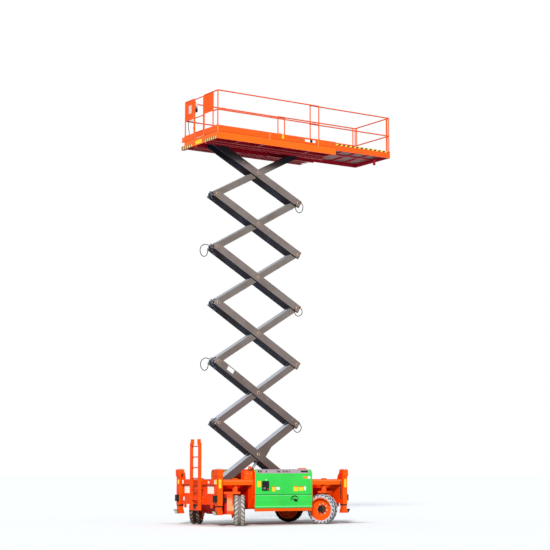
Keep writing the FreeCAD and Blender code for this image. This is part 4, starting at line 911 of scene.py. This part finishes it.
for s, x in [(s, x) for s in sides for x in (0.700, 1.855)]:
    brackets.append(on_deck_side(s, x, 0.318, (0.052, 0.056), 0.012, 0.006))
    brackets.append(lathe(bolt, at(x, s * fitting_side, deck_low + 0.318), (0, s, 0), 6))
plated = plain("plated_steel", tint(150, 142, 120), 0.5, metallic=0.3, mottle=0.2)
make_piece("toe_brackets", brackets, plated, *deck)
pipes = [slab(at(-0.07, y, deck_low), (0, 1, 0), (1, 0, 0), (0.022, 3.96), 0.012, 0.002)
         for y in (-0.560, 0.560)]
make_piece("deck_under_pipes", pipes, plain("pale_pipe", tint(190, 120, 118), 0.5, mottle=0.15), *deck)
gland = lathe([(0.022, 0), (0.022, 0.012), (0.017, 0.016), (0.017, 0.030), (0.0105, 0.038)],
              at(-1.986, 0.748, deck_low + tread_rise), (0, 0, 1), 12)
make_piece("cable_gland", [gland], black, *deck_black)

# The guard rails: round tubes with welded collars at their feet, sheet panels by the entry, small
# lanyard rings, and the control box on the far rear corner with its black cable.
collar = [(0.028, 0), (0.028, 0.012), (0.0185, 0.026)]
feet = [lathe(collar, at(x, s * rail_side, deck_low + 0.383), (0, 0, 1), 16)
        for s in sides for x in (-2.086, 1.365)]
make_piece("rail_feet", feet, rail_paint, *deck)
turn = np.linspace(0, 2 * np.pi, 21)
ring = np.stack((0.026 * np.cos(turn), 0 * turn, 0.026 * np.sin(turn)), 1)
rings = [tube(ring + at(x, s * rail_side, deck_low + 0.865), 0.005, 8)
         for s in sides for x in (-1.93, -1.87, 1.16, 1.22)]
make_piece("lanyard_rings", rings, rail_paint, *deck)
control_grey = painted("control_grey", tint(226, 216, 216), tint(30, 28, 36), dust_and_sheen=0.0, chips=0.0, zones=(
    (tint(40, 36, 50), lambda place, facing: place[2].below(deck_low + 1.175, 0.02)),))
wear(("control_box",), control_grey)
low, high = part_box("control_box")
box_x, box_y, box_z = (low.x + high.x) / 2, (low.y + high.y) / 2, deck_low + 1.335
upright = (0, 0, 1)
key = [(0.010, 0), (0.010, 0.022), (0.015, 0.026), (0.015, 0.040), (0.009, 0.046), (0.002, 0.046)]
keys = [lathe(key, (box_x + x, box_y + y, box_z), upright, 12)
        for x in (-0.055, 0.0, 0.055) for y in (-0.085, -0.035)]
make_piece("control_switches", keys, black, *deck_black)
lever = [(0.026, 0), (0.024, 0.014), (0.008, 0.020), (0.008, 0.040), (0.016, 0.046), (0.018, 0.058),
         (0.012, 0.068), (0.002, 0.069)]
stick = lathe(lever, (box_x + 0.045, box_y + 0.040, box_z), upright, 16)
make_piece("control_lever", [stick], black, *deck_black)
stop = [(0.012, 0), (0.012, 0.010), (0.020, 0.014), (0.020, 0.024), (0.013, 0.030), (0.002, 0.030)]
button = lathe(stop, (box_x - 0.050, box_y + 0.050, box_z), upright, 16)
make_piece("control_stop", [button], red, *deck_black)
panel = slab((low.x, box_y, deck_low + 1.205), (0, -1, 0), upright, (0.190, 0.170), 0.003, 0.01)
control_plate = plain("control_plate", tint(196, 196, 190), 0.4, coat=0.3, mottle=0.06)
make_piece("control_face", [panel], control_plate, *deck_black)
# The cable's points from the box down to the gland: in from the deck's rear and far side, in metres,
# and the share of its drop that is left.
cable_drop, cable_thick = 0.863, 0.018
cable = np.array((
    (0.104, 0.106, 1.0), (0.104, 0.106, 0.919), (0.092, 0.078, 0.786), (0.085, 0.068, 0.623),
    (0.087, 0.080, 0.461), (0.095, 0.106, 0.299), (0.108, 0.136, 0.183), (0.118, 0.158, 0.102),
    (0.118, 0.158, 0.0)))
route = np.stack((at(deck_rear, 0, 0)[0] + cable[:, 0], deck_side - cable[:, 1],
                  deck_low + tread_rise + cable_drop * cable[:, 2]), 1)
cord = cord_curve("control_cable_skin", route, cable_thick, hose_rubber, "platform")
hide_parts("control_cable")

# The roll-out extension: two beams on slide pads, cross bars, a mesh deck whose frames, seen from
# below, are painted dark red as shade, low toe strips with a striped top edge, and its own rails.
extension = ("extension", "platform_orange")
# Painted shade: dark red on the frames under the extension and on the faces that look down.
extension_shade_red = tint(192, 32, 56)
extension_paint = painted(
    "extension_paint", tint(253, 98, 34), extension_shade_red, dust_and_sheen=0.08, dark=1.0, shine=0.05, zones=(
        (extension_shade_red, lambda place, facing: place[1].size().below(0.853, 0.004)
         * place[2].below(deck_low + 0.300, 0.004) * facing[2].below(0.5, 0.1)),))
wear(("extension_frame", "extension_side_rails", "extension_rail_front"), extension_paint)
net = new_shader("extension_mesh")
here = net.place()
x_part, y_part = net.parts(here)[:2]
net_pitch = 210.0       # radians for each metre across the mesh
holes = (x_part * net_pitch).sine() * (y_part * net_pitch).sine()
stain = net.noise(here, 3.0, 4.0)
wires = net.mix(tint(170, 124, 116), tint(140, 98, 92), stain.above(0.5, 0.4))
mesh_floor = net.finish({
    "Base Color": net.mix(wires, tint(66, 46, 46), holes.above(0.2, 0.3)),
    "Roughness": stain * 0.2 + 0.45, "Metallic": 0.3, "Normal": net.relief(0.5, 0.002, holes)})
wear(("extension_floor",), mesh_floor)
strips = [on_deck_side(s, 2.955, 0.3245, (1.980, 0.047), 0.0016, 0.002, y=0.862) for s in sides]
make_piece("extension_stripes", strips, striped("stripes_side", 0, 0.165, -0.9), *extension)
post = slab(at(3.530, -0.700, deck_low + 0.144), (0, 1, 0), (1, 0, 0), (0.060, 0.060), 0.235, 0.006)
dark_red = painted("dark_red_paint", tint(150, 18, 40), tint(110, 10, 24), dust_and_sheen=0.0)
make_piece("extension_hanging_post", [post], dark_red, *extension)

# Sizes: the box around every piece that was built.
bpy.context.view_layer.update()
corners_seen = []
for piece in bpy.context.scene.objects:
    if piece.type in ("MESH", "CURVE") and piece.name != "floor":
        corners_seen += [piece.matrix_world @ Vector(corner) for corner in piece.bound_box]
seen_box = [[pick(c[axis] for c in corners_seen) for axis in range(3)] for pick in (min, max)]
